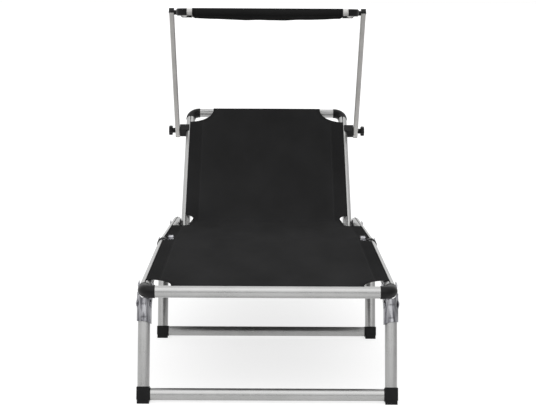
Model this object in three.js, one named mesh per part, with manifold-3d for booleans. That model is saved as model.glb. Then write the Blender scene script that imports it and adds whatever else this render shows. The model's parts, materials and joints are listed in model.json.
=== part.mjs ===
// A three-section folding sun lounger with a small canopy over the head end.
// The frame is extruded aluminium tube with a groove along it. A bead sewn into the edge of each
// fabric sling slides into that groove. Lengths are in millimetres. +X is across the lounger,
// +Y runs from the foot end to the head end and +Z is up.

import * as THREE from 'three';
import { mergeVertices } from 'three/addons/utils/BufferGeometryUtils.js';
import Module from 'manifold-3d';

const wasm = await Module();
wasm.setup();

// Clearances and helpers for every piece
const gap = 0.3;
const overrun = 2;
const weldDistance = 0.001;

// Side rails and the lie of the three sections, measured from the crossbar at the foot end
const railX = 275.3;
const railHeight = 245;
const foldY = 735;
const midSlopeDegrees = 2.9;
const foldEndGap = 1.2;

// Grooved tube of the lying frame: the groove is a round channel behind a narrow slot
const frameRadius = 13.5;
const frameWall = 1.5;
const frameSlot = 2.4;
const frameChannelRadius = 3.2;
const frameLip = 1.3;
const frameWeb = 1.3;

// Corner elbows of the lying frame
const elbowRadius = 14.7;
const footBend = 22;
const footElbowAtBar = 2;
const footElbowAtRail = 40;
const backBend = 27;
const backElbowAtBar = 2;
const backElbowAtTube = 10;
const elbowSpigotLength = 15;

// Fabric slings
const slingThickness = 1.4;
const slingLift = 0.4;
const slingHem = 1.2;
const slingNeck = 1.4;
const slingBeadRadius = 2.7;
const slingEndInset = 1.5;
const beadEndInset = 0.5;
const slingWrapOverlap = 4;
const footCutoutX = 62;
const footCutoutY = 78;
const foldSlingGap = 3;
const foldNotchX = 29;
const foldNotchY = 40;
const midSideEnd = 400;
const midRearHalfWidth = 225;
const midRearCorner = 24;
const midSlingEndBeforePivot = 20;
const backSlingStart = 12;
const backNotchX = 24;
const backNotchY = 20;
const backCutoutX = 74;
const backCutoutY = 48;

// Fold fittings between the foot section and the middle section
const foldPinRise = 17;
const collarRadius = 16.2;
const collarLength = 14;
const knuckleRadius = 5.5;
const foldPinRadius = 2.5;
const foldPinHeadRadius = 3.2;
const foldPinHeadLength = 1.5;
const knuckleOuterX = 261;
const knuckleMiddleX = 255.05;
const knuckleInnerX = 249;
const knuckleWebX = 262;
const knuckleWebTop = 13.5;
const footWebBottom = 5;
const midWebBottom = 4;
const midWebStart = 6.5;
const midWebStepEnd = 7;

// Backrest
const backPivotY = 597;
const backX = 244;
const backReach = 504;
const backOverhang = 25;
const backAngleDegrees = 38.1;
const backHingeRadius = 17;
const backBoltRadius = 3.5;
const backBoltHeadRadius = 8;
const backBoltHeadLength = 2;

// Legs
const legRadius = 13.5;
const legWall = 1.5;
const legPivotDrop = 30;
const legRivetRadius = 4;
const legDomeHalfWidth = 14.6;
const frontLegY = 20;
const frontLegLeanDegrees = 12.1;
const frontBarRadius = 13.5;
const frontBarHeight = 18;
const frontFootHeight = 38.5;
const midLegY = 15;
const midLegLeanDegrees = 14;
const rearLegY = 705;
const railTail = 25;
const midLength = rearLegY + railTail;
const rearLegLeanDegrees = 15;
const lowBarRadius = 12.5;
const lowBarHeight = 16;
const lowFootHeight = 34;
const barWall = 1.5;
const footWidth = 29;
const footDepth = 29;
const footPadHeight = 6;
const footPadWidth = 27;
const footPadDepth = 26;
const footCorner = 12;
const footSpigotLength = 20;

// Pressed steel leg brackets
const bracketWall = 1.5;
const bracketHalfWidth = 15;
const bracketDepth = 14.5;
const bracketTop = 8;
const bracketBottom = -40;
const bracketBack = 6;
const bracketPlateRadius = 11;
const bracketRivetY = 62;
const bracketRivetRadius = 3;
const rivetHeadRadius = 7;
const rivetHeadLength = 1.8;

// Canopy clamps, arms and knobs
const clampBelowBar = 83;
const clampReach = backReach - clampBelowBar;
const clampLength = 30;
const clampHeight = 32;
const clampInnerX = 247;
const clampOuterX = 277.2;
const clampCorner = 6;
const armX = 284;
const armThickness = 13;
const armDepth = 23;
const armWall = 1.2;
const armReach = 508;
const armTail = 22;
const armTop = 5;
const armAngleDegrees = 132.1;
const armCapPlug = 30;
const armCapHeight = 10;
const canopyLugRadius = 7;
const canopyPinRadius = 2.2;
const canopyPinLength = 17;
const knobHeadRadius = 15.5;
const knobHeadLength = 12;
const knobLobeDepth = 2.4;
const knobEdge = 1.5;
const knobStemRadius = 8;
const knobStemLength = 9.2;
const knobShankRadius = 3;
const knobShankInnerX = 262;

// Canopy frame and cloth
const canopyX = 257;
const canopyFront = 85;
const canopyBack = 260;
const canopyTiltDegrees = 1.6;
const canopyRadius = 10;
const canopyWall = 1.2;
const canopySlot = 2.2;
const canopyChannelRadius = 2.5;
const canopyLip = 1.2;
const canopyWeb = 1;
const canopyElbowRadius = 11;
const canopyBend = 20;
const canopyElbowAtBar = 14;
const canopyElbowAtSide = 10;
const canopySpigotLength = 12;
const clothThickness = 1.2;
const clothLift = 0.4;
const clothNeck = 1.2;
const clothBeadRadius = 2;
const clothHem = 0.8;
const clothEndGap = 5.5;
const clothHalfWidth = canopyX - canopyBend - canopyElbowAtBar - clothEndGap;
const clothCutoutY = 35;
const clothSag = 9;
const clothHemTurnDegrees = 6;

// Numbers of facets
const tubeSteps = 16;
const channelSteps = 6;
const webSteps = 4;
const rodSteps = 10;
const bendSteps = 5;
const elbowSteps = 12;
const roundSteps = 4;
const knobLobes = 6;
const knobStepsPerLobe = 4;
const clothColumns = 10;
const clothRows = 6;
const clothCornerRows = 3;
const clothWrapSteps = 7;

// Colours and surfaces
const looks = {
  aluminium: { color: 0xc3c4c4, roughness: 0.34, metalness: 0.9 },
  canopyAluminium: { color: 0xb6b3b0, roughness: 0.36, metalness: 0.9 },
  chrome: { color: 0xd4d4d2, roughness: 0.14, metalness: 1 },
  plastic: { color: 0x1b1b1c, roughness: 0.5, metalness: 0 },
  fabric: { color: 0x2b2b2c, roughness: 0.9, metalness: 0 },
};

const rad = THREE.MathUtils.degToRad;
const fullTurn = 2 * Math.PI;
const up = Math.PI / 2;
const alongX = new THREE.Vector3(1, 0, 0);
const alongY = new THREE.Vector3(0, 1, 0);
const alongZ = new THREE.Vector3(0, 0, 1);
const againstZ = new THREE.Vector3(0, 0, -1);

// Sizes of a grooved tube, with the round peg that fits its bore below the channel
function groovedTube(radius, wall, slot, channelRadius, lip, web) {
  const boreRadius = radius - wall;
  const channelRise = radius - lip - channelRadius;
  const webBottom = channelRise - channelRadius - web;
  const spigotRadius = (boreRadius + webBottom) / 2 - gap;
  const spigotRise = (webBottom - boreRadius) / 2;
  const webRadius = channelRadius + web;
  return { radius, boreRadius, slot, channelRadius, channelRise, webRadius, spigotRadius, spigotRise };
}

const frameTube = groovedTube(
  frameRadius, frameWall, frameSlot, frameChannelRadius, frameLip, frameWeb);
const canopyTube = groovedTube(
  canopyRadius, canopyWall, canopySlot, canopyChannelRadius, canopyLip, canopyWeb);

// Points along an ellipse about a centre, from one angle to another
function ellipsePoints(centreX, centreY, radiusX, radiusY, from, to, steps) {
  const points = [];
  for (let i = 0; i <= steps; i += 1) {
    const angle = from + ((to - from) * i) / steps;
    const x = centreX + radiusX * Math.cos(angle);
    const y = centreY + radiusY * Math.sin(angle);
    points.push(new THREE.Vector2(x, y));
  }
  return points;
}

function arcPoints(centreX, centreY, radius, from, to, steps) {
  return ellipsePoints(centreX, centreY, radius, radius, from, to, steps);
}

function circlePoints(centreX, centreY, radius, steps) {
  return arcPoints(centreX, centreY, radius, 0, fullTurn, steps).slice(0, -1);
}

// A round-ended strip about the line between two points
function capsulePoints(startX, startY, endX, endY, radius) {
  const angle = Math.atan2(endY - startY, endX - startX);
  const steps = 2 * roundSteps;
  return [
    ...arcPoints(endX, endY, radius, angle - up, angle + up, steps),
    ...arcPoints(startX, startY, radius, angle + up, angle + up + Math.PI, steps),
  ];
}

// A rectangle with rounded corners about the origin
function roundedRectangle(width, height, corner) {
  const x = width / 2 - corner;
  const y = height / 2 - corner;
  return [
    ...arcPoints(x, y, corner, 0, up, roundSteps),
    ...arcPoints(-x, y, corner, up, 2 * up, roundSteps),
    ...arcPoints(-x, -y, corner, 2 * up, 3 * up, roundSteps),
    ...arcPoints(x, -y, corner, 3 * up, 4 * up, roundSteps),
  ];
}

function shapeFrom(points, holes = []) {
  const shape = new THREE.Shape(points);
  for (const hole of holes) shape.holes.push(new THREE.Path(hole));
  return shape;
}

// Tube section with the groove open towards +Y of the section
function groovedSection(tube) {
  const lipAngle = Math.asin(tube.slot / 2 / tube.radius);
  const mouthAngle = Math.asin(tube.slot / 2 / tube.channelRadius);
  const risePart = (tube.boreRadius ** 2 - tube.webRadius ** 2) / tube.channelRise;
  const meetRise = (risePart + tube.channelRise) / 2;
  const boreAngle = Math.acos(meetRise / tube.boreRadius);
  const webAngle = Math.acos((meetRise - tube.channelRise) / tube.webRadius);
  const outline = [
    ...arcPoints(0, 0, tube.radius, up + lipAngle, up - lipAngle + fullTurn, tubeSteps),
    ...arcPoints(
      0, tube.channelRise, tube.channelRadius,
      up - mouthAngle, up + mouthAngle - fullTurn, channelSteps),
  ];
  const web = arcPoints(
    0, tube.channelRise, tube.webRadius, up - webAngle, up + webAngle - fullTurn, webSteps);
  const bore = [
    ...arcPoints(0, 0, tube.boreRadius, up + boreAngle, up - boreAngle + fullTurn, tubeSteps),
    ...web.slice(1, -1),
  ];
  return shapeFrom(outline, [bore]);
}

function plainSection(radius, wall) {
  return shapeFrom(
    circlePoints(0, 0, radius, tubeSteps), [circlePoints(0, 0, radius - wall, tubeSteps)]);
}

// Extrudes a section from one point to another, with the section's +Y turned to the given direction
function tubeBetween(section, from, to, sectionUp) {
  const along = new THREE.Vector3().subVectors(to, from);
  const length = along.length();
  along.normalize();
  const across = new THREE.Vector3().crossVectors(sectionUp, along);
  const geometry = new THREE.ExtrudeGeometry(section, { depth: length, bevelEnabled: false });
  const place = new THREE.Matrix4().makeBasis(across, sectionUp, along).setPosition(from);
  return geometry.applyMatrix4(place);
}

// Flat pieces cut from an outline: the outline lies across the named axis
function plateAlongX(points, fromX, toX, holes = []) {
  const shape = shapeFrom(points, holes);
  const geometry = new THREE.ExtrudeGeometry(shape, { depth: toX - fromX, bevelEnabled: false });
  const place = new THREE.Matrix4().makeBasis(alongY, alongZ, alongX);
  return geometry.applyMatrix4(place.setPosition(fromX, 0, 0));
}

function plateAlongY(points, fromY, toY) {
  const shape = shapeFrom(points);
  const geometry = new THREE.ExtrudeGeometry(shape, { depth: toY - fromY, bevelEnabled: false });
  return geometry.rotateX(up).translate(0, toY, 0);
}

function plateAlongZ(points, fromZ, toZ) {
  const shape = shapeFrom(points);
  const geometry = new THREE.ExtrudeGeometry(shape, { depth: toZ - fromZ, bevelEnabled: false });
  return geometry.translate(0, 0, fromZ);
}

function boxBetween(fromX, toX, fromY, toY, fromZ, toZ) {
  const geometry = new THREE.BoxGeometry(toX - fromX, toY - fromY, toZ - fromZ);
  return geometry.translate((fromX + toX) / 2, (fromY + toY) / 2, (fromZ + toZ) / 2);
}

function rodAlongX(radius, fromX, toX, y = 0, z = 0, steps = rodSteps) {
  return plateAlongX(circlePoints(y, z, radius, steps), fromX, toX);
}

function rodAlongY(radius, fromY, toY, x, z, steps = rodSteps) {
  return plateAlongY(circlePoints(x, z, radius, steps), fromY, toY);
}

// Joining and cutting of closed meshes
function toSolid(geometry) {
  const bare = geometry.clone();
  bare.deleteAttribute('normal');
  bare.deleteAttribute('uv');
  const welded = mergeVertices(bare, weldDistance);
  const vertProperties = new Float32Array(welded.attributes.position.array);
  const triVerts = new Uint32Array(welded.index.array);
  return new wasm.Manifold(new wasm.Mesh({ numProp: 3, vertProperties, triVerts }));
}

function toGeometry(solid) {
  const mesh = solid.getMesh();
  const geometry = new THREE.BufferGeometry();
  geometry.setAttribute('position', new THREE.BufferAttribute(mesh.vertProperties, 3));
  geometry.setIndex(new THREE.BufferAttribute(mesh.triVerts, 1));
  geometry.computeVertexNormals();
  return geometry;
}

function fuse(pieces) {
  let solid = toSolid(pieces[0]);
  for (const piece of pieces.slice(1)) solid = solid.add(toSolid(piece));
  return toGeometry(solid);
}

function carve(body, cutters) {
  let solid = toSolid(body);
  for (const cutter of cutters) solid = solid.subtract(toSolid(cutter));
  return toGeometry(solid);
}

// Keeps the part of a body that lies inside a region
function keep(body, region) {
  return toGeometry(toSolid(body).intersect(toSolid(region)));
}

// Meshes with names; the left one of a pair is the mirror image of the right one
function addPiece(group, name, geometry, look) {
  const mesh = new THREE.Mesh(geometry, new THREE.MeshStandardMaterial(look));
  mesh.name = name;
  group.add(mesh);
  return mesh;
}

function addPair(group, name, geometry, look) {
  addPiece(group, `${name}_right`, geometry, look);
  const left = addPiece(group, `${name}_left`, geometry, look);
  left.scale.x = -1;
}

// Straight, quarter turn, straight: the centre line of an elbow on the +X side. It leaves the
// crossbar towards +X and turns towards +Y (turn 1) or -Y (turn -1).
class CornerPath extends THREE.Curve {
  constructor(cornerX, cornerY, turn, bend, atBar, atSide) {
    super();
    Object.assign(this, { cornerX, cornerY, turn, bend, atBar, atSide });
  }

  getPoint(share, target = new THREE.Vector3()) {
    const step = share * (bendSteps + 2);
    const centreX = this.cornerX - this.bend;
    if (step < 1) {
      return target.set(centreX - this.atBar * (1 - step), this.cornerY, 0);
    }
    if (step > bendSteps + 1) {
      const reach = this.bend + this.atSide * (step - bendSteps - 1);
      return target.set(this.cornerX, this.cornerY + this.turn * reach, 0);
    }
    const angle = (up * (step - 1)) / bendSteps;
    const x = centreX + this.bend * Math.sin(angle);
    const y = this.cornerY + this.turn * this.bend * (1 - Math.cos(angle));
    return target.set(x, y, 0);
  }

  // Keeps the steps of the sweep on the ends of the straight stretches
  getUtoTmapping(share) {
    return share;
  }
}

// Elbow with a peg into the crossbar and a peg into the side tube. Each peg sits below the groove
// of its tube; barGroove and sideGroove say which way the grooves face.
function elbow({ cornerX, cornerY, turn, bend, atBar, atSide, radius, tube, peg, barGroove, sideGroove }) {
  const path = new CornerPath(cornerX, cornerY, turn, bend, atBar, atSide);
  const section = shapeFrom(circlePoints(0, 0, radius, elbowSteps));
  const steps = bendSteps + 2;
  const body = new THREE.ExtrudeGeometry(
    section, { steps, extrudePath: path, bevelEnabled: false });
  const barEnd = path.getPoint(0);
  const sideEnd = path.getPoint(1);
  const barShift = barGroove.clone().multiplyScalar(tube.spigotRise);
  const sideShift = sideGroove.clone().multiplyScalar(tube.spigotRise);
  const barPeg = rodAlongX(
    tube.spigotRadius, barEnd.x - peg, barEnd.x + atBar,
    barEnd.y + barShift.y, barEnd.z + barShift.z);
  const sideYs = [sideEnd.y + turn * peg, sideEnd.y - (turn * atSide) / 2];
  const sidePeg = rodAlongY(
    tube.spigotRadius, Math.min(...sideYs), Math.max(...sideYs), sideEnd.x, sideShift.z);
  return fuse([body, barPeg, sidePeg]);
}

// Bead and neck that hold a sling in a groove along Y. side is 1 where the groove faces up.
function beadAlongY(x, fromY, toY, tube, neck, beadRadius, lift, thickness, side) {
  const beadZ = side * tube.channelRise;
  const topZ = side * (tube.radius + lift + thickness / 2);
  const neckPiece = boxBetween(
    x - neck / 2, x + neck / 2, fromY, toY, Math.min(beadZ, topZ), Math.max(beadZ, topZ));
  const bead = rodAlongY(
    beadRadius, fromY + beadEndInset, toY - beadEndInset, x, beadZ, channelSteps);
  return [neckPiece, bead];
}

// Bead and neck in a groove along X that faces up, at the given place across the lounger's length
function beadAlongX(halfLength, y, tube, neck, beadRadius, lift, thickness) {
  const topZ = tube.radius + lift + thickness / 2;
  const neckPiece = boxBetween(
    -halfLength, halfLength, y - neck / 2, y + neck / 2, tube.channelRise, topZ);
  const beadHalf = halfLength - beadEndInset;
  const bead = rodAlongX(beadRadius, -beadHalf, beadHalf, y, tube.channelRise, channelSteps);
  return [neckPiece, bead];
}

// Closes a right-hand outline, given from front to rear, with its mirror image
function bothSides(rightPoints) {
  const left = rightPoints.map((point) => new THREE.Vector2(-point.x, point.y)).reverse();
  return [...rightPoints, ...left];
}

const slingBottom = frameRadius + slingLift;
const slingTop = slingBottom + slingThickness;
const slingEdgeX = railX + slingHem;

// Foot sling: concave corners at the crossbar, notches beside the fold fittings
function makeFootSling() {
  const frontY = -slingHem;
  const notchX = slingEdgeX - foldNotchX;
  const sideEnd = foldY - foldNotchY;
  const outline = bothSides([
    ...ellipsePoints(
      slingEdgeX, frontY, footCutoutX, footCutoutY, Math.PI, up, roundSteps),
    new THREE.Vector2(slingEdgeX, sideEnd),
    new THREE.Vector2(notchX, sideEnd),
    new THREE.Vector2(notchX, foldY - foldSlingGap),
  ]);
  const sheet = plateAlongZ(outline, slingBottom, slingTop);
  const fromY = frontY + footCutoutY + slingEndInset;
  const toY = sideEnd - slingEndInset;
  const frontHalf = slingEdgeX - footCutoutX - slingEndInset;
  return fuse([
    sheet,
    ...beadAlongX(
      frontHalf, 0, frameTube, slingNeck, slingBeadRadius, slingLift, slingThickness),
    ...beadAlongY(
      railX, fromY, toY, frameTube, slingNeck, slingBeadRadius, slingLift, slingThickness, 1),
    ...beadAlongY(
      -railX, fromY, toY, frameTube, slingNeck, slingBeadRadius, slingLift, slingThickness, 1),
  ]);
}

// Middle sling: it narrows beside the backrest hinge so that the backrest tubes can pass
function makeMidSling() {
  const notchX = slingEdgeX - foldNotchX;
  const cornerX = midRearHalfWidth + midRearCorner;
  const cornerY = midSideEnd + midRearCorner;
  const outline = bothSides([
    new THREE.Vector2(notchX, foldSlingGap),
    new THREE.Vector2(notchX, foldNotchY),
    new THREE.Vector2(slingEdgeX, foldNotchY),
    new THREE.Vector2(slingEdgeX, midSideEnd),
    ...arcPoints(cornerX, cornerY, midRearCorner, 3 * up, 2 * up, roundSteps),
    new THREE.Vector2(midRearHalfWidth, backPivotY - midSlingEndBeforePivot),
  ]);
  const sheet = plateAlongZ(outline, slingBottom, slingTop);
  const fromY = foldNotchY + slingEndInset;
  const toY = midSideEnd - slingEndInset;
  return fuse([
    sheet,
    ...beadAlongY(
      railX, fromY, toY, frameTube, slingNeck, slingBeadRadius, slingLift, slingThickness, 1),
    ...beadAlongY(
      -railX, fromY, toY, frameTube, slingNeck, slingBeadRadius, slingLift, slingThickness, 1),
  ]);
}

// Backrest sling: it lies on the front of the tubes and turns over the top crossbar into the
// groove on the crossbar's upper edge
function makeBackSling() {
  const edgeX = backX + slingHem;
  const wrapHalf = edgeX - backCutoutX;
  const notchFront = edgeX - backNotchX;
  const outline = bothSides([
    new THREE.Vector2(notchFront, backSlingStart),
    ...ellipsePoints(
      edgeX, backSlingStart, backNotchX, backNotchY, Math.PI, up, roundSteps).slice(1),
    ...ellipsePoints(
      edgeX, backReach, backCutoutX, backCutoutY, 3 * up, Math.PI, roundSteps),
  ]);
  const sheet = plateAlongZ(outline, slingBottom, slingTop);
  const fromY = backSlingStart + backNotchY + slingEndInset;
  const toY = backReach - backCutoutY - slingEndInset;
  const hemTurn = -Math.asin(slingHem / slingTop);
  const wrap = plateAlongX([
    new THREE.Vector2(backReach - slingWrapOverlap, slingBottom),
    ...arcPoints(backReach, 0, slingBottom, up, hemTurn, roundSteps),
    ...arcPoints(backReach, 0, slingTop, hemTurn, up, roundSteps),
    new THREE.Vector2(backReach - slingWrapOverlap, slingTop),
  ], -wrapHalf + beadEndInset, wrapHalf - beadEndInset);
  const beadHalf = wrapHalf - slingEndInset;
  const beadY = backReach + frameTube.channelRise;
  const neck = boxBetween(
    -beadHalf, beadHalf, beadY, backReach + (slingBottom + slingTop) / 2,
    -slingNeck / 2, slingNeck / 2);
  const beadInner = beadHalf - beadEndInset;
  const bead = rodAlongX(slingBeadRadius, -beadInner, beadInner, beadY, 0, channelSteps);
  return fuse([
    sheet,
    wrap,
    neck,
    bead,
    ...beadAlongY(
      backX, fromY, toY, frameTube, slingNeck, slingBeadRadius, slingLift, slingThickness, 1),
    ...beadAlongY(
      -backX, fromY, toY, frameTube, slingNeck, slingBeadRadius, slingLift, slingThickness, 1),
  ]);
}

// Canopy cloth: one sheet that leaves the groove on top of the near bar, passes in front of it and
// below the side tubes, and ends in the groove on top of the far bar. It sags between them.
function makeCanopyCloth() {
  const edgeX = canopyX + clothHem;
  const cutoutX = edgeX - clothHalfWidth;
  const wrapRadius = canopyRadius + clothLift + clothThickness / 2;
  const middleY = (canopyBack - canopyFront) / 2;
  const halfSpan = (canopyBack + canopyFront) / 2;
  const hemTurn = rad(clothHemTurnDegrees);
  const rows = [];
  const addWrap = (centreY, from, to) => {
    for (let i = 0; i <= clothWrapSteps; i += 1) {
      const angle = from + ((to - from) * i) / clothWrapSteps;
      const outward = new THREE.Vector2(Math.cos(angle), Math.sin(angle));
      const centre = outward.clone().multiplyScalar(wrapRadius);
      rows.push({ y: centreY + centre.x, z: centre.y, outward, half: clothHalfWidth, sag: 0 });
    }
  };
  const addFlat = (y, half) => {
    const sag = clothSag * (1 - ((y - middleY) / halfSpan) ** 2);
    rows.push({ y, z: -wrapRadius, outward: new THREE.Vector2(0, -1), half, sag });
  };
  // Half width of the sheet at a distance from the bar, where its corners are cut away
  const cutHalf = (angle) => edgeX - cutoutX * Math.cos(angle);
  addWrap(-canopyFront, up - hemTurn, 3 * up);
  for (let i = 1; i <= clothCornerRows; i += 1) {
    const angle = (up * i) / clothCornerRows;
    addFlat(-canopyFront + clothCutoutY * Math.sin(angle), cutHalf(angle));
  }
  const sideSpan = canopyFront + canopyBack - 2 * clothCutoutY;
  for (let i = 1; i < clothRows; i += 1) {
    addFlat(-canopyFront + clothCutoutY + (sideSpan * i) / clothRows, edgeX);
  }
  for (let i = clothCornerRows; i >= 1; i -= 1) {
    const angle = (up * i) / clothCornerRows;
    addFlat(canopyBack - clothCutoutY * Math.sin(angle), cutHalf(angle));
  }
  addWrap(canopyBack, -up, up + hemTurn);

  const positions = [];
  const columns = clothColumns + 1;
  for (const face of [1, -1]) {
    for (const row of rows) {
      for (let i = 0; i < columns; i += 1) {
        const x = row.half * ((2 * i) / clothColumns - 1);
        const drop = row.sag * (1 - (x / edgeX) ** 2);
        const offset = (face * clothThickness) / 2;
        positions.push(x, row.y + row.outward.x * offset, row.z - drop + row.outward.y * offset);
      }
    }
  }
  const index = [];
  const inner = rows.length * columns;
  const addQuad = (a, b, c, d) => index.push(a, b, c, a, c, d);
  for (let j = 0; j < rows.length - 1; j += 1) {
    for (let i = 0; i < clothColumns; i += 1) {
      const a = j * columns + i;
      const b = a + columns;
      addQuad(a, b, b + 1, a + 1);
      addQuad(inner + a, inner + a + 1, inner + b + 1, inner + b);
    }
    const left = j * columns;
    const right = left + clothColumns;
    addQuad(left, inner + left, inner + left + columns, left + columns);
    addQuad(right, right + columns, inner + right + columns, inner + right);
  }
  const lastRow = (rows.length - 1) * columns;
  for (let i = 0; i < clothColumns; i += 1) {
    addQuad(i, i + 1, inner + i + 1, inner + i);
    const end = lastRow + i;
    addQuad(end, inner + end, inner + end + 1, end + 1);
  }
  const sheet = new THREE.BufferGeometry();
  sheet.setAttribute('position', new THREE.Float32BufferAttribute(positions, 3));
  sheet.setIndex(index);

  const barHalf = clothHalfWidth - slingEndInset;
  const fromY = -canopyFront + clothCutoutY + slingEndInset;
  const toY = canopyBack - clothCutoutY - slingEndInset;
  const sideBeads = [canopyX, -canopyX].flatMap((x) => beadAlongY(
    x, fromY, toY, canopyTube, clothNeck, clothBeadRadius, clothLift, clothThickness, -1));
  const barBeads = [-canopyFront, canopyBack].flatMap((y) => beadAlongX(
    barHalf, y, canopyTube, clothNeck, clothBeadRadius, clothLift, clothThickness));
  return fuse([sheet, ...barBeads, ...sideBeads]);
}

// Leg frame: two tubes with domed tops, a bar just above the floor and two moulded feet cut flat to
// the floor. The domes clear the brackets when the leg folds.
// turn is the leg's world rotation about +X and pivotHeight the height of its pivot.
function addLeg(group, name, { turn, pivotHeight, barRadius, barHeight, footHeight }) {
  const alongLeg = (height) => (height - pivotHeight) / Math.cos(turn);
  const floorAt = (y) => -(pivotHeight + y * Math.sin(turn)) / Math.cos(turn);
  const bodyTop = alongLeg(footHeight);
  const bodyBottom = alongLeg(footPadHeight);
  const barZ = alongLeg(barHeight);

  const tube = tubeBetween(
    plainSection(legRadius, legWall), new THREE.Vector3(railX, 0, bodyTop + gap),
    new THREE.Vector3(railX, 0, legRadius), alongY);
  const side = legRadius + overrun;
  const dome = new THREE.SphereGeometry(1, tubeSteps, tubeSteps / 2).rotateZ(up)
    .scale(legDomeHalfWidth, legRadius, legRadius).translate(railX, 0, 0);
  const below = boxBetween(railX - side, railX + side, -side, side, bodyTop, 0);
  const rivetHole = rodAlongX(legRivetRadius + gap, railX - side, railX + side);
  const roundedTube = keep(tube, fuse([dome, below]));
  addPair(group, `${name}_tube`, carve(roundedTube, [rivetHole]), looks.aluminium);

  const innerX = railX - footWidth / 2;
  const outerX = railX + footWidth / 2;
  const bar = tubeBetween(
    plainSection(barRadius, barWall), new THREE.Vector3(-innerX + gap, 0, barZ),
    new THREE.Vector3(innerX - gap, 0, barZ), alongZ);
  addPiece(group, `${name}_bar`, bar, looks.aluminium);

  const blockOutline = [
    new THREE.Vector2(innerX, bodyBottom),
    new THREE.Vector2(outerX, bodyBottom),
    new THREE.Vector2(outerX, bodyTop),
    ...arcPoints(innerX + footCorner, bodyTop - footCorner, footCorner, up, 2 * up, roundSteps),
  ];
  const block = plateAlongY(blockOutline, -footDepth / 2, footDepth / 2);
  const padHalf = footPadDepth / 2;
  const pad = plateAlongX([
    new THREE.Vector2(-padHalf, floorAt(-padHalf)),
    new THREE.Vector2(padHalf, floorAt(padHalf)),
    new THREE.Vector2(padHalf, bodyBottom + overrun),
    new THREE.Vector2(-padHalf, bodyBottom + overrun),
  ], railX - footPadWidth / 2, railX + footPadWidth / 2);
  const legPeg = tubeBetween(
    shapeFrom(circlePoints(0, 0, legRadius - legWall - gap, tubeSteps)),
    new THREE.Vector3(railX, 0, barZ), new THREE.Vector3(railX, 0, bodyTop + footSpigotLength),
    alongY);
  const barPeg = rodAlongX(
    barRadius - barWall - gap, innerX - footSpigotLength, railX, 0, barZ, tubeSteps);
  const footName = name.replace('leg', 'foot');
  addPair(group, footName, fuse([block, pad, legPeg, barPeg]), looks.plastic);
}

// Leg bracket: a channel that stops the open leg, with side plates that rise to the rail and the
// two rivets through leg and rail. facing is 1 where the leg folds towards +Y, -1 towards -Y.
function legBracket(lean, facing) {
  const inside = bracketHalfWidth;
  const outside = inside + bracketWall;
  const front = bracketDepth + bracketWall;
  const back = facing * bracketBack;
  const inner = ellipsePoints(0, 0, inside, bracketDepth, Math.PI, 0, tubeSteps / 2);
  const outer = ellipsePoints(0, 0, outside, front, 0, Math.PI, tubeSteps / 2);
  const flip = (point) => new THREE.Vector2(railX + point.x, -facing * point.y);
  const channelOutline = [
    new THREE.Vector2(railX + outside, back),
    ...outer.map(flip),
    new THREE.Vector2(railX - outside, back),
    new THREE.Vector2(railX - inside, back),
    ...inner.map(flip),
    new THREE.Vector2(railX + inside, back),
  ];
  const channel = plateAlongZ(channelOutline, bracketBottom, bracketTop).rotateX(-facing * lean);
  const plate = capsulePoints(0, 0, facing * bracketRivetY, legPivotDrop, bracketPlateRadius);
  const outerPlate = plateAlongX(plate, railX + inside, railX + outside);
  const innerPlate = plateAlongX(plate, railX - outside, railX - inside);
  const reach = (radius, y, z) => rodAlongX(
    radius, railX - outside, railX + outside + rivetHeadLength / 2, y, z);
  const head = (y, z) => rodAlongX(
    rivetHeadRadius, railX + outside - bracketWall / 2, railX + outside + rivetHeadLength, y, z);
  const rivetY = facing * bracketRivetY;
  return fuse([
    channel,
    outerPlate,
    innerPlate,
    reach(legRivetRadius, 0, 0),
    reach(bracketRivetRadius, rivetY, legPivotDrop),
    head(0, 0),
    head(rivetY, legPivotDrop),
  ]);
}

// Rail of the lying frame with its cross holes
function makeRail(fromY, toY, holes) {
  const tube = tubeBetween(
    groovedSection(frameTube), new THREE.Vector3(railX, fromY, 0),
    new THREE.Vector3(railX, toY, 0), alongZ);
  const cutters = holes.map(({ y, radius }) => rodAlongX(
    radius + gap, railX - frameRadius - overrun, railX + frameRadius + overrun, y, 0));
  return carve(tube, cutters);
}

// Black collar on a rail end at the fold
function foldCollar(fromY) {
  const ring = plateAlongY(circlePoints(railX, 0, collarRadius, tubeSteps), fromY, fromY + collarLength);
  const bore = rodAlongY(
    frameRadius + gap, fromY - overrun, fromY + collarLength + overrun, railX, 0, tubeSteps);
  return carve(ring, [bore]);
}

// Outer half of the fold hinge: an eye on the foot section's collar
function makeFootKnuckle() {
  const eyeX = knuckleMiddleX + gap / 2;
  const pieces = fuse([
    foldCollar(foldY - foldEndGap - collarLength),
    boxBetween(
      eyeX, knuckleWebX, foldY - collarLength, foldY, footWebBottom, knuckleWebTop),
    rodAlongX(knuckleRadius, eyeX, knuckleOuterX, foldY, foldPinRise),
  ]);
  const hole = rodAlongX(
    foldPinRadius + gap, eyeX - overrun, knuckleWebX + overrun, foldY, foldPinRise);
  return carve(pieces, [hole]);
}

// Inner half of the fold hinge: an eye that carries the pin, on the middle section's collar
function makeMidKnuckle() {
  const eyeX = knuckleMiddleX - gap / 2;
  const headX = knuckleOuterX + gap;
  return fuse([
    foldCollar(foldEndGap),
    boxBetween(
      knuckleInnerX, knuckleWebX, midWebStart, collarLength, midWebBottom, knuckleWebTop),
    boxBetween(knuckleInnerX, eyeX, 0, midWebStepEnd, midWebBottom, knuckleWebTop),
    rodAlongX(knuckleRadius, knuckleInnerX, eyeX, 0, foldPinRise),
    rodAlongX(foldPinRadius, knuckleInnerX, headX + foldPinHeadLength / 2, 0, foldPinRise),
    rodAlongX(foldPinHeadRadius, headX, headX + foldPinHeadLength, 0, foldPinRise),
  ]);
}

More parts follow.
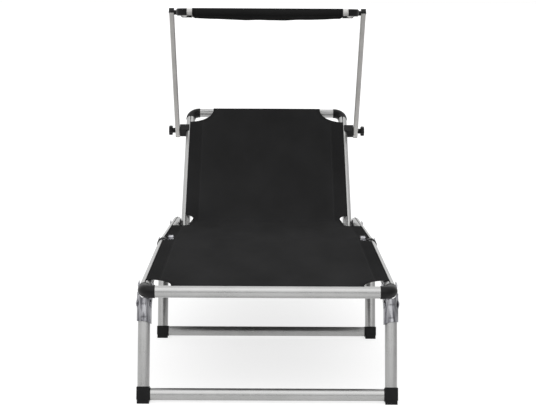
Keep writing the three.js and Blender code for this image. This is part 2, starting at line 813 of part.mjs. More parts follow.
// Spacer disc and bolt on which the backrest tube turns, held in the rail
function makeBackHinge() {
  const railInner = railX - frameRadius - gap;
  const backOuter = backX + frameRadius + gap;
  const outerHead = railX + frameRadius + gap;
  const innerHead = backX - frameRadius - gap;
  return fuse([
    rodAlongX(backHingeRadius, backOuter, railInner, backPivotY, 0, tubeSteps),
    rodAlongX(
      backBoltRadius, innerHead - backBoltHeadLength / 2, outerHead + backBoltHeadLength / 2,
      backPivotY, 0),
    rodAlongX(
      backBoltHeadRadius, outerHead, outerHead + backBoltHeadLength, backPivotY, 0, tubeSteps),
    rodAlongX(
      backBoltHeadRadius, innerHead - backBoltHeadLength, innerHead, backPivotY, 0, tubeSteps),
  ]);
}

// Clamp block that grips the outer half of the backrest tube and takes the knob's screw
function makeClamp() {
  const block = plateAlongX(
    roundedRectangle(clampLength, clampHeight, clampCorner), clampInnerX, clampOuterX);
  const tubeBore = rodAlongY(
    frameRadius + gap, -clampLength, clampLength, backX, 0, tubeSteps);
  const screwHole = rodAlongX(
    knobShankRadius + gap, knobShankInnerX - gap, clampOuterX + overrun);
  return carve(block, [tubeBore, screwHole]).translate(0, clampReach, 0);
}

// Flat oval section of a canopy arm, wide across the arm's +Y of the section
function ovalPoints(thickness, depth) {
  const corner = thickness / 2;
  const reach = depth / 2 - corner;
  return [
    ...arcPoints(0, reach, corner, 0, 2 * up, roundSteps * 2),
    ...arcPoints(0, -reach, corner, 2 * up, 4 * up, roundSteps * 2),
  ];
}

function makeArm() {
  const bore = ovalPoints(armThickness - 2 * armWall, armDepth - 2 * armWall);
  const section = shapeFrom(ovalPoints(armThickness, armDepth), [bore]);
  const tube = tubeBetween(
    section, new THREE.Vector3(armX, -armTail, 0),
    new THREE.Vector3(armX, armReach + armTop, 0), alongZ);
  const innerFace = armX - armThickness / 2;
  const outerFace = armX + armThickness / 2;
  const knobHole = rodAlongX(knobShankRadius + gap, innerFace - overrun, outerFace + overrun);
  const lugHole = rodAlongX(canopyLugRadius + gap, innerFace - overrun, armX, armReach, 0);
  return carve(tube, [knobHole, lugHole]);
}

// Black cap on top of an arm, with a plug in the tube and the lug and pin that carry the canopy
function makeArmCap() {
  const fit = 2 * (armWall + gap);
  const top = armReach + armTop;
  const plug = plateAlongY(
    ovalPoints(armThickness - fit, armDepth - fit).map(
      (point) => new THREE.Vector2(armX + point.x, point.y)),
    top - armCapPlug, top + armCapHeight / 2);
  const headHalf = armDepth / 2;
  const head = plateAlongX([
    new THREE.Vector2(top + gap, -headHalf),
    ...ellipsePoints(
      top + gap, 0, armCapHeight, headHalf, -up, up, 2 * roundSteps).slice(1, -1),
    new THREE.Vector2(top + gap, headHalf),
  ], armX - armThickness / 2, armX + armThickness / 2);
  const lugX = canopyX + canopyRadius + gap;
  return fuse([
    plug,
    head,
    rodAlongX(canopyLugRadius, lugX, armX, armReach, 0),
    rodAlongX(canopyPinRadius, lugX + gap - canopyPinLength, armX, armReach, 0),
  ]);
}

// Lobed clamping knob with its screw through the arm
function makeKnob() {
  const outline = [];
  const count = knobLobes * knobStepsPerLobe;
  const innerRadius = knobHeadRadius - knobEdge;
  for (let i = 0; i < count; i += 1) {
    const angle = (fullTurn * i) / count;
    const dip = (knobLobeDepth * (1 - Math.cos(angle * knobLobes))) / 2;
    const radius = innerRadius - dip;
    outline.push(new THREE.Vector2(radius * Math.cos(angle), radius * Math.sin(angle)));
  }
  const startX = armX + armThickness / 2 + gap;
  const headX = startX + knobStemLength;
  const head = new THREE.ExtrudeGeometry(shapeFrom(outline), {
    depth: knobHeadLength - 2 * knobEdge,
    bevelThickness: knobEdge,
    bevelSize: knobEdge,
    bevelSegments: 1,
  });
  head.translate(0, 0, knobEdge);
  const place = new THREE.Matrix4().makeBasis(alongY, alongZ, alongX).setPosition(headX, 0, 0);
  return fuse([
    head.applyMatrix4(place),
    rodAlongX(knobStemRadius, startX, headX + knobEdge, 0, 0, tubeSteps),
    rodAlongX(knobShankRadius, knobShankInnerX, headX),
  ]);
}

// A turned group at a pivot
function pivotGroup(parent, y, z, turn) {
  const group = new THREE.Group();
  group.position.set(0, y, z);
  group.rotation.x = turn;
  parent.add(group);
  return group;
}

const lounger = new THREE.Group();

// Foot section: level, with the front leg
const footSection = pivotGroup(lounger, 0, railHeight, 0);
const railStart = footBend + footElbowAtRail + gap;
const frontRivet = { y: frontLegY + bracketRivetY, radius: bracketRivetRadius };
addPair(
  footSection, 'foot_rail', makeRail(railStart, foldY - foldEndGap, [frontRivet]),
  looks.aluminium);
const footBarEnd = railX - footBend - footElbowAtBar - gap;
const footBar = tubeBetween(
  groovedSection(frameTube), new THREE.Vector3(-footBarEnd, 0, 0),
  new THREE.Vector3(footBarEnd, 0, 0), alongZ);
addPiece(footSection, 'foot_crossbar', footBar, looks.aluminium);
addPair(footSection, 'foot_elbow', elbow({
  cornerX: railX,
  cornerY: 0,
  turn: 1,
  bend: footBend,
  atBar: footElbowAtBar,
  atSide: footElbowAtRail,
  radius: elbowRadius,
  tube: frameTube,
  peg: elbowSpigotLength,
  barGroove: alongZ,
  sideGroove: alongZ,
}), looks.plastic);
addPair(footSection, 'fold_hinge_foot', makeFootKnuckle(), looks.plastic);
addPiece(footSection, 'foot_sling', makeFootSling(), looks.fabric);

const frontLean = rad(frontLegLeanDegrees);
const frontBracket = legBracket(frontLean, 1).translate(0, frontLegY, -legPivotDrop);
addPair(footSection, 'front_leg_bracket', frontBracket, looks.chrome);
const frontLeg = pivotGroup(footSection, frontLegY, -legPivotDrop, -frontLean);
addLeg(frontLeg, 'front_leg', {
  turn: -frontLean,
  pivotHeight: railHeight - legPivotDrop,
  barRadius: frontBarRadius,
  barHeight: frontBarHeight,
  footHeight: frontFootHeight,
});

// Middle section: it slopes down a little from the fold pins to the head end
const midSlope = rad(midSlopeDegrees);
const foldPivot = pivotGroup(lounger, foldY, railHeight + foldPinRise, -midSlope);
const midSection = pivotGroup(foldPivot, 0, -foldPinRise, 0);
const midLean = rad(midLegLeanDegrees);
const rearLean = rad(rearLegLeanDegrees);
const rearRivetY = rearLegY - bracketRivetY;
const midHoles = [
  { y: midLegY + bracketRivetY, radius: bracketRivetRadius },
  { y: backPivotY, radius: backBoltRadius },
  { y: rearRivetY, radius: bracketRivetRadius },
];
addPair(midSection, 'mid_rail', makeRail(foldEndGap, midLength, midHoles), looks.aluminium);
addPair(midSection, 'fold_hinge_mid', makeMidKnuckle(), looks.plastic);
addPiece(midSection, 'mid_sling', makeMidSling(), looks.fabric);
addPair(midSection, 'backrest_hinge', makeBackHinge(), looks.plastic);

// Turns of the two lower legs against the sloping section
const midLegTurn = midSlope - midLean;
const rearLegTurn = midSlope + rearLean;
const midBracket = legBracket(-midLegTurn, 1).translate(0, midLegY, -legPivotDrop);
const rearBracket = legBracket(rearLegTurn, -1).translate(0, rearLegY, -legPivotDrop);
addPair(midSection, 'mid_leg_bracket', midBracket, looks.chrome);
addPair(midSection, 'rear_leg_bracket', rearBracket, looks.chrome);

// Height of a point of the middle section above the floor
function midHeight(y, z) {
  const rise = z - foldPinRise;
  return railHeight + foldPinRise - y * Math.sin(midSlope) + rise * Math.cos(midSlope);
}

const midLeg = pivotGroup(midSection, midLegY, -legPivotDrop, midLegTurn);
addLeg(midLeg, 'mid_leg', {
  turn: -midLean,
  pivotHeight: midHeight(midLegY, -legPivotDrop),
  barRadius: lowBarRadius,
  barHeight: lowBarHeight,
  footHeight: lowFootHeight,
});
const rearLeg = pivotGroup(midSection, rearLegY, -legPivotDrop, rearLegTurn);
addLeg(rearLeg, 'rear_leg', {
  turn: rearLean,
  pivotHeight: midHeight(rearLegY, -legPivotDrop),
  barRadius: lowBarRadius,
  barHeight: lowBarHeight,
  footHeight: lowFootHeight,
});

// Backrest, turned up about the bolts in the rails
const backTurn = rad(backAngleDegrees) + midSlope;
const backrest = pivotGroup(midSection, backPivotY, 0, backTurn);
const backTubeEnd = backReach - backBend - backElbowAtTube - gap;
const backTube = tubeBetween(
  groovedSection(frameTube), new THREE.Vector3(backX, -backOverhang, 0),
  new THREE.Vector3(backX, backTubeEnd, 0), alongZ);
const backBoltHole = rodAlongX(
  backBoltRadius + gap, backX - frameRadius - overrun, backX + frameRadius + overrun);
addPair(backrest, 'backrest_tube', carve(backTube, [backBoltHole]), looks.aluminium);
const backBarEnd = backX - backBend - backElbowAtBar - gap;
const backBar = tubeBetween(
  groovedSection(frameTube), new THREE.Vector3(-backBarEnd, backReach, 0),
  new THREE.Vector3(backBarEnd, backReach, 0), alongY);
addPiece(backrest, 'backrest_crossbar', backBar, looks.aluminium);
addPair(backrest, 'backrest_elbow', elbow({
  cornerX: backX,
  cornerY: backReach,
  turn: -1,
  bend: backBend,
  atBar: backElbowAtBar,
  atSide: backElbowAtTube,
  radius: elbowRadius,
  tube: frameTube,
  peg: elbowSpigotLength,
  barGroove: alongY,
  sideGroove: alongZ,
}), looks.plastic);
addPiece(backrest, 'backrest_sling', makeBackSling(), looks.fabric);
addPair(backrest, 'canopy_clamp', makeClamp(), looks.plastic);

// Canopy arms and the knobs that clamp them
const armTurn = rad(armAngleDegrees) - rad(backAngleDegrees);
const arms = pivotGroup(backrest, clampReach, 0, armTurn);
addPair(arms, 'canopy_arm', makeArm(), looks.canopyAluminium);
addPair(arms, 'canopy_arm_cap', makeArmCap(), looks.plastic);
addPair(arms, 'knob', makeKnob(), looks.plastic);

// Canopy frame at the top of the arms, with its cloth
const canopyTurn = -rad(canopyTiltDegrees) - rad(armAngleDegrees);
const canopy = pivotGroup(arms, armReach, 0, canopyTurn);
const sideFrom = -canopyFront + canopyBend + canopyElbowAtSide + gap;
const sideTo = canopyBack - canopyBend - canopyElbowAtSide - gap;
const sideTube = tubeBetween(
  groovedSection(canopyTube), new THREE.Vector3(canopyX, sideFrom, 0),
  new THREE.Vector3(canopyX, sideTo, 0), againstZ);
const pinHole = rodAlongX(canopyPinRadius + gap, canopyX, canopyX + canopyRadius + overrun);
addPair(canopy, 'canopy_side_tube', carve(sideTube, [pinHole]), looks.canopyAluminium);
const canopyBarEnd = canopyX - canopyBend - canopyElbowAtBar - gap;
for (const [name, y, turn] of [['near', -canopyFront, 1], ['far', canopyBack, -1]]) {
  const bar = tubeBetween(
    groovedSection(canopyTube), new THREE.Vector3(-canopyBarEnd, y, 0),
    new THREE.Vector3(canopyBarEnd, y, 0), alongZ);
  addPiece(canopy, `canopy_${name}_bar`, bar, looks.canopyAluminium);
  addPair(canopy, `canopy_${name}_elbow`, elbow({
    cornerX: canopyX,
    cornerY: y,
    turn,
    bend: canopyBend,
    atBar: canopyElbowAtBar,
    atSide: canopyElbowAtSide,
    radius: canopyElbowRadius,
    tube: canopyTube,
    peg: canopySpigotLength,
    barGroove: alongZ,
    sideGroove: againstZ,
  }), looks.plastic);
}
addPiece(canopy, 'canopy_cloth', makeCanopyCloth(), looks.fabric);

// The origin lies on the floor below the middle of the whole lounger
lounger.updateMatrixWorld(true);
const box = new THREE.Box3().setFromObject(lounger, true);
lounger.position.y = -(box.min.y + box.max.y) / 2;
lounger.updateMatrixWorld(true);

export default lounger;
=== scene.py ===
import json
import math

import bpy
import numpy as np
from mathutils import Matrix, Vector
from mathutils.geometry import tessellate_polygon


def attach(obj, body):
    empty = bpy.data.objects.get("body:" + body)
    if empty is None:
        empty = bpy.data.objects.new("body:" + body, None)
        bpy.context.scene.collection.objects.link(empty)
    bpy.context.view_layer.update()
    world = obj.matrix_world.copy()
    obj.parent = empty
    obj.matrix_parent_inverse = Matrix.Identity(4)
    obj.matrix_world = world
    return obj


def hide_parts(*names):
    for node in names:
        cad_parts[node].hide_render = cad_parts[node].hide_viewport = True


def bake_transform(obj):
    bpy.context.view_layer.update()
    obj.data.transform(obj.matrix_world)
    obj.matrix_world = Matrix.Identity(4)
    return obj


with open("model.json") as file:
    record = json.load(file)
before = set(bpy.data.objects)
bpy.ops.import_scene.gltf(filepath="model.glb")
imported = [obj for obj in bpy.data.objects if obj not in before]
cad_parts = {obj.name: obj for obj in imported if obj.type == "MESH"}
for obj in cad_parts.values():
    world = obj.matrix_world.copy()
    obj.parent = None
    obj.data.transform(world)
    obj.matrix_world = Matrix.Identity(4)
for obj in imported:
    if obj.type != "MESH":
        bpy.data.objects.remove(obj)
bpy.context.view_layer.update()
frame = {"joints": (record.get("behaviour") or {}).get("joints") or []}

# %% [markdown]
# ## Where each section lies
# A section is a rigid group of pieces, such as the foot section, a leg or the canopy, and each one
# turns on a rivet or bolt. Pieces could be drawn where they end up, but then every slope would be
# mixed into every number. So a piece is drawn in its section's own straight frame, and one matrix
# carries it to its place. The hinge places come from the model, so they can't drift away from it.
# %% Matrices of the sections
MM = 0.001
FOLD_Y, FOLD_RISE = 735.0, 17.0
MID_SLOPE = 2.9
FRONT_LEAN, MID_LEAN, REAR_LEAN = 12.1, 14.0, 15.0
BACK_ANGLE, ARM_ANGLE, CANOPY_TILT = 38.1, 132.1, 1.6
FOOT, MID, BACK, ARMS, CANOPY = "foot_section", "mid_section", "backrest", "canopy_arms", "canopy"
pivot = {joint["name"]: Vector(joint["pos_m"]) for joint in frame["joints"]}


def section(joint, degrees, shift=(0, 0, 0)):
    """Matrix from a section's millimetres to the model's metres."""
    turn = Matrix.Rotation(math.radians(degrees), 4, "X")
    return Matrix.Translation(pivot[joint]) @ turn @ Matrix.Scale(MM, 4) @ Matrix.Translation(shift)


at = {
    FOOT: section("foot_fold", 0, (0, -FOLD_Y, -FOLD_RISE)),
    MID: section("foot_fold", -MID_SLOPE, (0, 0, -FOLD_RISE)),
    "front_leg": section("front_leg_fold", -FRONT_LEAN),
    "mid_leg": section("mid_leg_fold", -MID_LEAN),
    "rear_leg": section("rear_leg_fold", REAR_LEAN),
    BACK: section("backrest_recline", BACK_ANGLE),
    ARMS: section("canopy_arms_swing", ARM_ANGLE),
    CANOPY: section("canopy_tilt", -CANOPY_TILT),
}
at["knob_left"] = at["knob_right"] = at[ARMS]
print("crossbar at", [round(v, 4) for v in at[FOOT].translation])

# %% [markdown]
# ## Outlines
# Extruded tube, moulded blocks and pressed plates all start as a flat outline. It could be drawn as
# a Blender curve, but a list of points is easier to measure and to use again. These helpers give
# the points of arcs, circles and rounded boxes, always counter-clockwise.
# %% Arcs, circles and rounded boxes
QUARTER, HALF, FULL = 90.0, 180.0, 360.0


def angles(start, end, count):
    """Angles in radians from start to end in degrees, with both ends."""
    return np.radians(np.linspace(start, end, count))


def arc(x, y, radius_x, radius_y, start, end, steps):
    angle = angles(start, end, steps + 1)
    return np.column_stack([x + radius_x * np.cos(angle), y + radius_y * np.sin(angle)])


def circle(radius, steps=48):
    return arc(0, 0, radius, radius, 0, FULL, steps)[:-1]


def rounded_box(half_x, half_y, corner, steps):
    x, y = half_x - corner, half_y - corner
    signs = [(1, 1), (-1, 1), (-1, -1), (1, -1)]
    return np.vstack([arc(sx * x, sy * y, corner, corner, QUARTER * i, QUARTER * (i + 1), steps)
                      for i, (sx, sy) in enumerate(signs)])


print("points in a circle:", len(circle(1.0)))

# %% [markdown]
# ## A skin over rings
# Most parts are one outline carried along a path: a tube, an elbow, a turned rivet head. A bevelled
# curve could do it, but rings of points give full control over each cross-section. The UVs run
# round the outline and along the path at true scale, so that a material's grain can follow the
# tube. The faces have to look outward, so the whole skin is turned round if its volume comes out
# negative.
# %% Skin over rings
AXES = {"X": Vector((1, 0, 0)), "Y": Vector((0, 1, 0)), "Z": Vector((0, 0, 1))}


def outward(verts, faces, uvs):
    fans = np.array([(face[0], face[i], face[i + 1])
                     for face in faces for i in range(1, len(face) - 1)])
    a, b, c = (verts[fans[:, i]] for i in range(3))
    if np.einsum("ij,ij", a, np.cross(b, c)) < 0:
        faces, uvs = [face[::-1] for face in faces], [uv[::-1] for uv in uvs]
    return verts, faces, uvs


def end_cap(ring, base, first):
    """Triangles over a ring. They go round it the other way at the first end than at the last."""
    faces, uvs = [], []
    for triangle in tessellate_polygon([[Vector(p) for p in ring]]):
        a, b, c = triangle
        rising = a < b < c or b < c < a or c < a < b
        order = triangle if rising != first else triangle[::-1]
        faces.append([base + i for i in order])
        uvs.append([(ring[i][0], ring[i][1]) for i in order])
    return faces, uvs


def sweep(rings, closed=True):
    """Skin over rings of points with the same count, with flat ends where it is closed."""
    rings = [np.asarray(ring, float) for ring in rings]
    count = len(rings[0])
    around = np.linalg.norm(np.roll(rings[0], -1, axis=0) - rings[0], axis=1)
    steps = [np.linalg.norm(b.mean(axis=0) - a.mean(axis=0)) for a, b in zip(rings, rings[1:])]
    u, v = (np.concatenate([[0], np.cumsum(lengths)]) for lengths in (around, steps))
    faces, uvs = [], []
    for j in range(len(rings) - 1):
        for i in range(count):
            k = (i + 1) % count
            faces.append([j * count + i, j * count + k, (j + 1) * count + k, (j + 1) * count + i])
            uvs.append([(u[i], v[j]), (u[i + 1], v[j]), (u[i + 1], v[j + 1]), (u[i], v[j + 1])])
    for ring, base, first in ((rings[0], 0, True), (rings[-1], (len(rings) - 1) * count, False)):
        if closed:
            cap_faces, cap_uvs = end_cap(ring, base, first)
            faces, uvs = faces + cap_faces, uvs + cap_uvs
    return outward(np.vstack(rings), faces, uvs)


print("axes:", ", ".join(AXES))

# %% [markdown]
# ## Bars and plates
# A bar is a skin over two rings, and a plate or a box is a short bar. Blender's extrude tool would
# do the same on a selected face. Here the two end points and the upward direction say where the bar
# goes, so that a groove ends up on the side that is wanted.
# %% Bars and plates
def extrude(outline, start, end, up=AXES["Z"]):
    """Bar with an outline (across, up) between two points."""
    start, end = Vector(start), Vector(end)
    across = up.cross((end - start).normalized())
    ring = np.outer(outline[:, 0], across) + np.outer(outline[:, 1], up)
    return sweep([ring + np.array(start), ring + np.array(end)])


def lengthwise(outline, x, start, end, up=AXES["Z"]):
    return extrude(outline, (x, start, 0), (x, end, 0), up)


def crosswise(outline, half, y, up=AXES["Z"]):
    return extrude(outline, (-half, y, 0), (half, y, 0), up)


def plate_x(outline, x0, x1):
    return extrude(outline, (x0, 0, 0), (x1, 0, 0))


def plate_y(outline, y0, y1):
    return extrude(outline, (0, y1, 0), (0, y0, 0))


def box(x0, x1, y0, y1, z0, z1):
    return plate_x(np.array([(y0, z0), (y1, z0), (y1, z1), (y0, z1)], float), x0, x1)


print("box has", len(box(0, 1, 0, 1, 0, 1)[1]), "faces")

# %% [markdown]
# ## Turned parts
# Rivet heads, pins, plugs and collars are lathe work on the real lounger too. A cylinder with a
# bevel is the usual short cut, but a profile of distances and radii states every edge at once, and
# the same helper then makes a domed head, a rod with small chamfers and a collar with a bore.
# %% Turned parts
DOME_SHARES = ((0.0, 0.97), (0.35, 1.0), (0.75, 0.8), (0.95, 0.45), (1.0, 0.08))


def moved(solid, shift, flip_x=1):
    verts, faces, uvs = solid
    if flip_x < 0:
        faces, uvs = [face[::-1] for face in faces], [uv[::-1] for uv in uvs]
    return verts * np.array([flip_x, 1, 1]) + np.array(shift), faces, uvs


def turned(profile, centre, axis, steps=32, closed=True):
    """Lathe work: profile gives (distance along the axis, radius) from one end to the other."""
    along, across = AXES[axis], AXES[{"X": "Y", "Y": "Z", "Z": "X"}[axis]]
    unit = circle(1.0, steps)
    spokes = np.outer(unit[:, 0], across) + np.outer(unit[:, 1], along.cross(across))
    return sweep([spokes * r + np.array(centre) + np.array(along) * h for h, r in profile], closed)


def rod(radius, a, b, centre, axis="X", edge=0.3):
    """Turned rod from a to b along the axis, with small chamfers."""
    return turned([(a, radius - edge), (a + edge, radius), (b - edge, radius), (b, radius - edge)],
                  centre, axis)


def collar(outer, inner, a, b, centre, axis, edge=0.5):
    """Ring with a bore and chamfered edges."""
    profile = [(a, inner), (a, outer - edge), (a + edge, outer), (b - edge, outer),
               (b, outer - edge), (b, inner), (a, inner)]
    return turned(profile, centre, axis, 40, closed=False)


def dome(radius, height, centre, side=1):
    """Rivet head that bulges along X, away from the middle or toward it."""
    profile = [(height * h, radius * r) for h, r in DOME_SHARES]
    return moved(turned(profile, (0, 0, 0), "X", 24), centre, side)


print("rivet head has", len(dome(7.0, 2.4, (0, 0, 0))[1]), "faces")

# %% [markdown]
# ## Meshes
# One piece is often several solids, such as a bracket with its rivets. They are joined in one mesh
# and carried to the section's place. Left pieces are the right ones mirrored, as the real parts
# are. A Mirror modifier would make one object of both, and they have to be pieces of their own.
# %% Meshes
def make_mesh(name, solids, matrix, mirror):
    verts, faces, uvs, base = [], [], [], 0
    for v, f, uv in solids:
        verts.append(v)
        faces += [[i + base for i in face] for face in f]
        uvs += uv
        base += len(v)
    verts, faces, uvs = moved((np.vstack(verts), faces, uvs), (0, 0, 0), -1 if mirror else 1)
    mesh = bpy.data.meshes.new(name)
    mesh.from_pydata([matrix @ Vector(v) for v in verts], [], faces)
    flat = np.array([c for uv in uvs for spot in uv for c in spot], float) * MM
    mesh.uv_layers.new(name="UVMap").data.foreach_set("uv", flat)
    mesh.validate()
    return mesh


def into_scene(name, data):
    thing = bpy.data.objects.new(name, data)
    bpy.context.scene.collection.objects.link(thing)
    return thing


print("meshes are in metres, and 1 mm is", MM)

# %% [markdown]
# ## Pieces
# A piece gets its finish, the body that it rides on and the CAD node that it stands for. Moulded
# and pressed parts have soft edges. They could be drawn in each outline, but a Bevel modifier
# rounds every edge alike, and the drawing stays simple.
# %% Pieces
SHARP, BEVEL_STEPS = 38.0, 3
ALUMINIUM, CHROME, PLASTIC = "frame_aluminium", "chromed_steel", "black_plastic"


def dressed(name, mesh, finish, sharp):
    """Object with its finish, smooth but for edges sharper than the angle."""
    piece = into_scene(name, mesh)
    mesh.materials.append(finish_of[finish])
    mesh.shade_smooth()
    mesh.set_sharp_from_angle(angle=math.radians(sharp))
    return piece


def part(name, solids, finish, body, node=None, bevel=0.0, mirror=False):
    piece = dressed(name, make_mesh(name, solids, at[body], mirror), finish, SHARP)
    if bevel:
        soften = piece.modifiers.new("bevel", "BEVEL")
        soften.width, soften.segments = bevel * MM, BEVEL_STEPS
        soften.limit_method, soften.angle_limit = "ANGLE", math.radians(SHARP)
        soften.miter_outer = "MITER_ARC"
        piece.modifiers.new("normals", "WEIGHTED_NORMAL").keep_sharp = True
    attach(piece, body)
    if node:
        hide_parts(node)
    print(f"{name}: {len(piece.data.polygons)} faces, rides on {body}")


def pair(name, solids, finish, body, node=None, bevel=0.0):
    for side in ("right", "left"):
        part(f"{name}_{side}", solids, finish, body, node and f"{node}_{side}", bevel,
             mirror=side == "left")


print("edges sharper than", SHARP, "degrees stay sharp")

# %% [markdown]
# ## Node trees
# Each finish is a procedural material on the Principled shader, with its own colour variation,
# roughness and bump at the real scale. Nodes could be placed by hand in the shader editor. This
# wrapper adds a node, feeds its sockets and hands on one output, so that a finish reads like a
# recipe. The floor and the sky use it too.
# %% Node trees
class Finish:
    def __init__(self, holder, shader="Principled BSDF", **values):
        holder.use_nodes = True
        self.holder, self.tree = holder, holder.node_tree
        self.shader = self.tree.nodes[shader]
        self.set(**values)

    def feed(self, socket, value):
        if isinstance(value, bpy.types.NodeSocket):
            self.tree.links.new(value, socket)
        else:
            socket.default_value = value

    def set(self, **values):
        """Sets or links the shader's own sockets."""
        for key, value in values.items():
            self.feed(self.shader.inputs[key.replace("_", " ")], value)

    def add(self, kind, sockets=(), out=0, **settings):
        """Adds a node, fills sockets by number or name and returns one output."""
        node = self.tree.nodes.new("ShaderNode" + kind)
        for key, value in settings.items():
            setattr(node, key, value)
        for key, value in dict(sockets).items():
            self.feed(node.inputs[key], value)
        return node.outputs[out]

    def math(self, operation, *values):
        return self.add("Math", enumerate(values), operation=operation)

    def noise(self, vector, scale, detail):
        return self.add("TexNoise", {"Vector": vector, "Scale": scale, "Detail": detail}, "Fac")

    def stretch(self, vector, scale):
        return self.add("Mapping", {"Vector": vector, "Scale": scale})

    def between(self, factor, low, high, start=0.3, end=0.7, **settings):
        """A number that follows a factor between two limits."""
        return self.add("MapRange", enumerate((factor, start, end, low, high)), **settings)

    def tint(self, factor, dark, light):
        return self.add("Mix", {0: factor, 6: (*dark, 1), 7: (*light, 1)}, 2, data_type="RGBA")

    def bump(self, height, strength, distance, **below):
        return self.add("Bump", {"Height": height, "Strength": strength, "Distance": distance,
                                 **below})


def new_finish(name, **values):
    """A material that starts with a few fixed values of the shader."""
    finish = Finish(bpy.data.materials.new(name), **values)
    finish_of[name] = finish.holder
    return finish, finish.add("TexCoord", out="Object")


finish_of = {}
print("node wrapper ready")

# %% [markdown]
# ## Satin aluminium
# The tubes are anodised extrusions with faint lines along them from the die, and a cloudy sheen. An
# image of brushed metal would smear round the bends, so stretched noise along the UVs draws the
# lines. The oxide skin scatters part of the light, so the surface is not all metal.
# %% Satin aluminium
def aluminium(name, dark, light, rough, metallic):
    finish, place = new_finish(name, Metallic=metallic, IOR=1.5, Specular_IOR_Level=0.3)
    uv = finish.add("TexCoord", out="UV")
    lines = finish.noise(finish.stretch(uv, (1.0, 0.012, 1.0)), scale=2600.0, detail=3.0)
    clouds = finish.noise(place, scale=14.0, detail=3.0)
    grain = finish.noise(place, scale=5200.0, detail=1.0)
    streaks = finish.between(lines, rough - 0.05, rough + 0.06)
    soft = finish.bump(grain, strength=0.12, distance=0.00004)
    finish.set(Base_Color=finish.tint(finish.between(clouds, 0.0, 1.0), dark, light),
               Roughness=finish.math("ADD", streaks, finish.between(clouds, -0.03, 0.03)),
               Normal=finish.bump(lines, strength=0.18, distance=0.00006, Normal=soft))


aluminium(ALUMINIUM, (0.52, 0.52, 0.515), (0.58, 0.58, 0.575), rough=0.30, metallic=0.85)
aluminium("canopy_aluminium", (0.63, 0.62, 0.60), (0.70, 0.69, 0.67), rough=0.50, metallic=0.40)
print("aluminium finishes:", ", ".join(finish_of))

# %% [markdown]
# ## Plated steel and black plastic
# The brackets are pressed steel with a bright plating. Pressing leaves it wavy, so it mirrors the
# room in streaks. A perfect mirror would look like plain grey in a plain studio, so the waviness is
# in the bump, and the streaks are painted into the colour as dark and light painted reflections.
# The corners, feet and knobs are moulded nylon with a fine spark-eroded texture and lighter
# patches where they are rubbed, which two scales of noise give.
# %% Plated steel and black plastic
def chrome(name):
    finish, place = new_finish(name, Metallic=1.0)
    waves = finish.noise(finish.stretch(place, (1.0, 1.0, 0.04)), scale=150.0, detail=1.0)
    spots = finish.noise(place, scale=900.0, detail=4.0)
    # Dark and light streaks tinted into the plating's colour are painted reflections of the room.
    streaks = finish.between(waves, 0.0, 1.0, 0.35, 0.65)
    finish.set(Base_Color=finish.tint(streaks, (0.19, 0.19, 0.21), (0.60, 0.60, 0.63)),
               Roughness=finish.between(spots, 0.10, 0.24),
               Normal=finish.bump(waves, strength=0.6, distance=0.0015))


def plastic(name, dark, light, rough):
    finish, place = new_finish(name, IOR=1.45, Specular_IOR_Level=0.28)
    texture = finish.noise(place, scale=2300.0, detail=2.0)
    rubbed = finish.noise(place, scale=60.0, detail=4.0)
    finish.set(Base_Color=finish.tint(finish.between(rubbed, 0.0, 1.0), dark, light),
               Roughness=finish.between(rubbed, rough + 0.07, rough - 0.06),
               Normal=finish.bump(texture, strength=0.25, distance=0.00012))


chrome(CHROME)
plastic(PLASTIC, (0.004, 0.004, 0.0045), (0.009, 0.009, 0.0095), rough=0.36)
print("finishes so far:", len(finish_of))

# %% [markdown]
# ## Sewing on the cloth
# The cloth has hems at its free edges and a sewn seam beside each tube, where the layer that holds
# the cord ends. Seams could be modelled as ridges, but they are thinner than a millimetre. So every
# point of a sheet carries two distances in metres, to its free edge and to its side seam, and the
# material draws layers, a painted highlight along the seam's fold, and dashes of thread from them,
# whatever shape the cut has.
# %% Sewing
STITCH_PITCH, STITCH_GAP, STITCH_INSET = 0.0036, -0.55, 0.003
THREAD_HALF, HEM_STITCH_BACK, FOLD_HIGHLIGHT_HALF = 0.0005, 0.002, 0.0012


def line(finish, distance, where, half_width):
    gap = finish.math("ABSOLUTE", finish.math("SUBTRACT", distance, where))
    return finish.math("LESS_THAN", gap, half_width)


def sewing(finish, x, y, hem):
    """Where the cloth lies double, a painted highlight along the seam's fold, and where thread
    shows.
    """
    edge, seam = (finish.add("Attribute", out=2, attribute_name=name) for name in ("edge", "seam"))
    double = finish.math("MAXIMUM", finish.math("LESS_THAN", edge, hem),
                         finish.math("GREATER_THAN", seam, 0.0))
    thread = finish.math("MULTIPLY", finish.math("ADD", x, y), 2 * math.pi / STITCH_PITCH)
    dashes = finish.math("GREATER_THAN", finish.math("SINE", thread), STITCH_GAP)
    rows = finish.math("MAXIMUM", line(finish, seam, STITCH_INSET, THREAD_HALF),
                       line(finish, edge, hem - HEM_STITCH_BACK, THREAD_HALF))
    # The second mask is the thin line of the seam's fold, which the cloth tints lighter as a
    # painted highlight.
    return double, line(finish, seam, 0.0, FOLD_HIGHLIGHT_HALF), finish.math("MULTIPLY", rows, dashes)


print("a stitch every", STITCH_PITCH / MM, "mm")
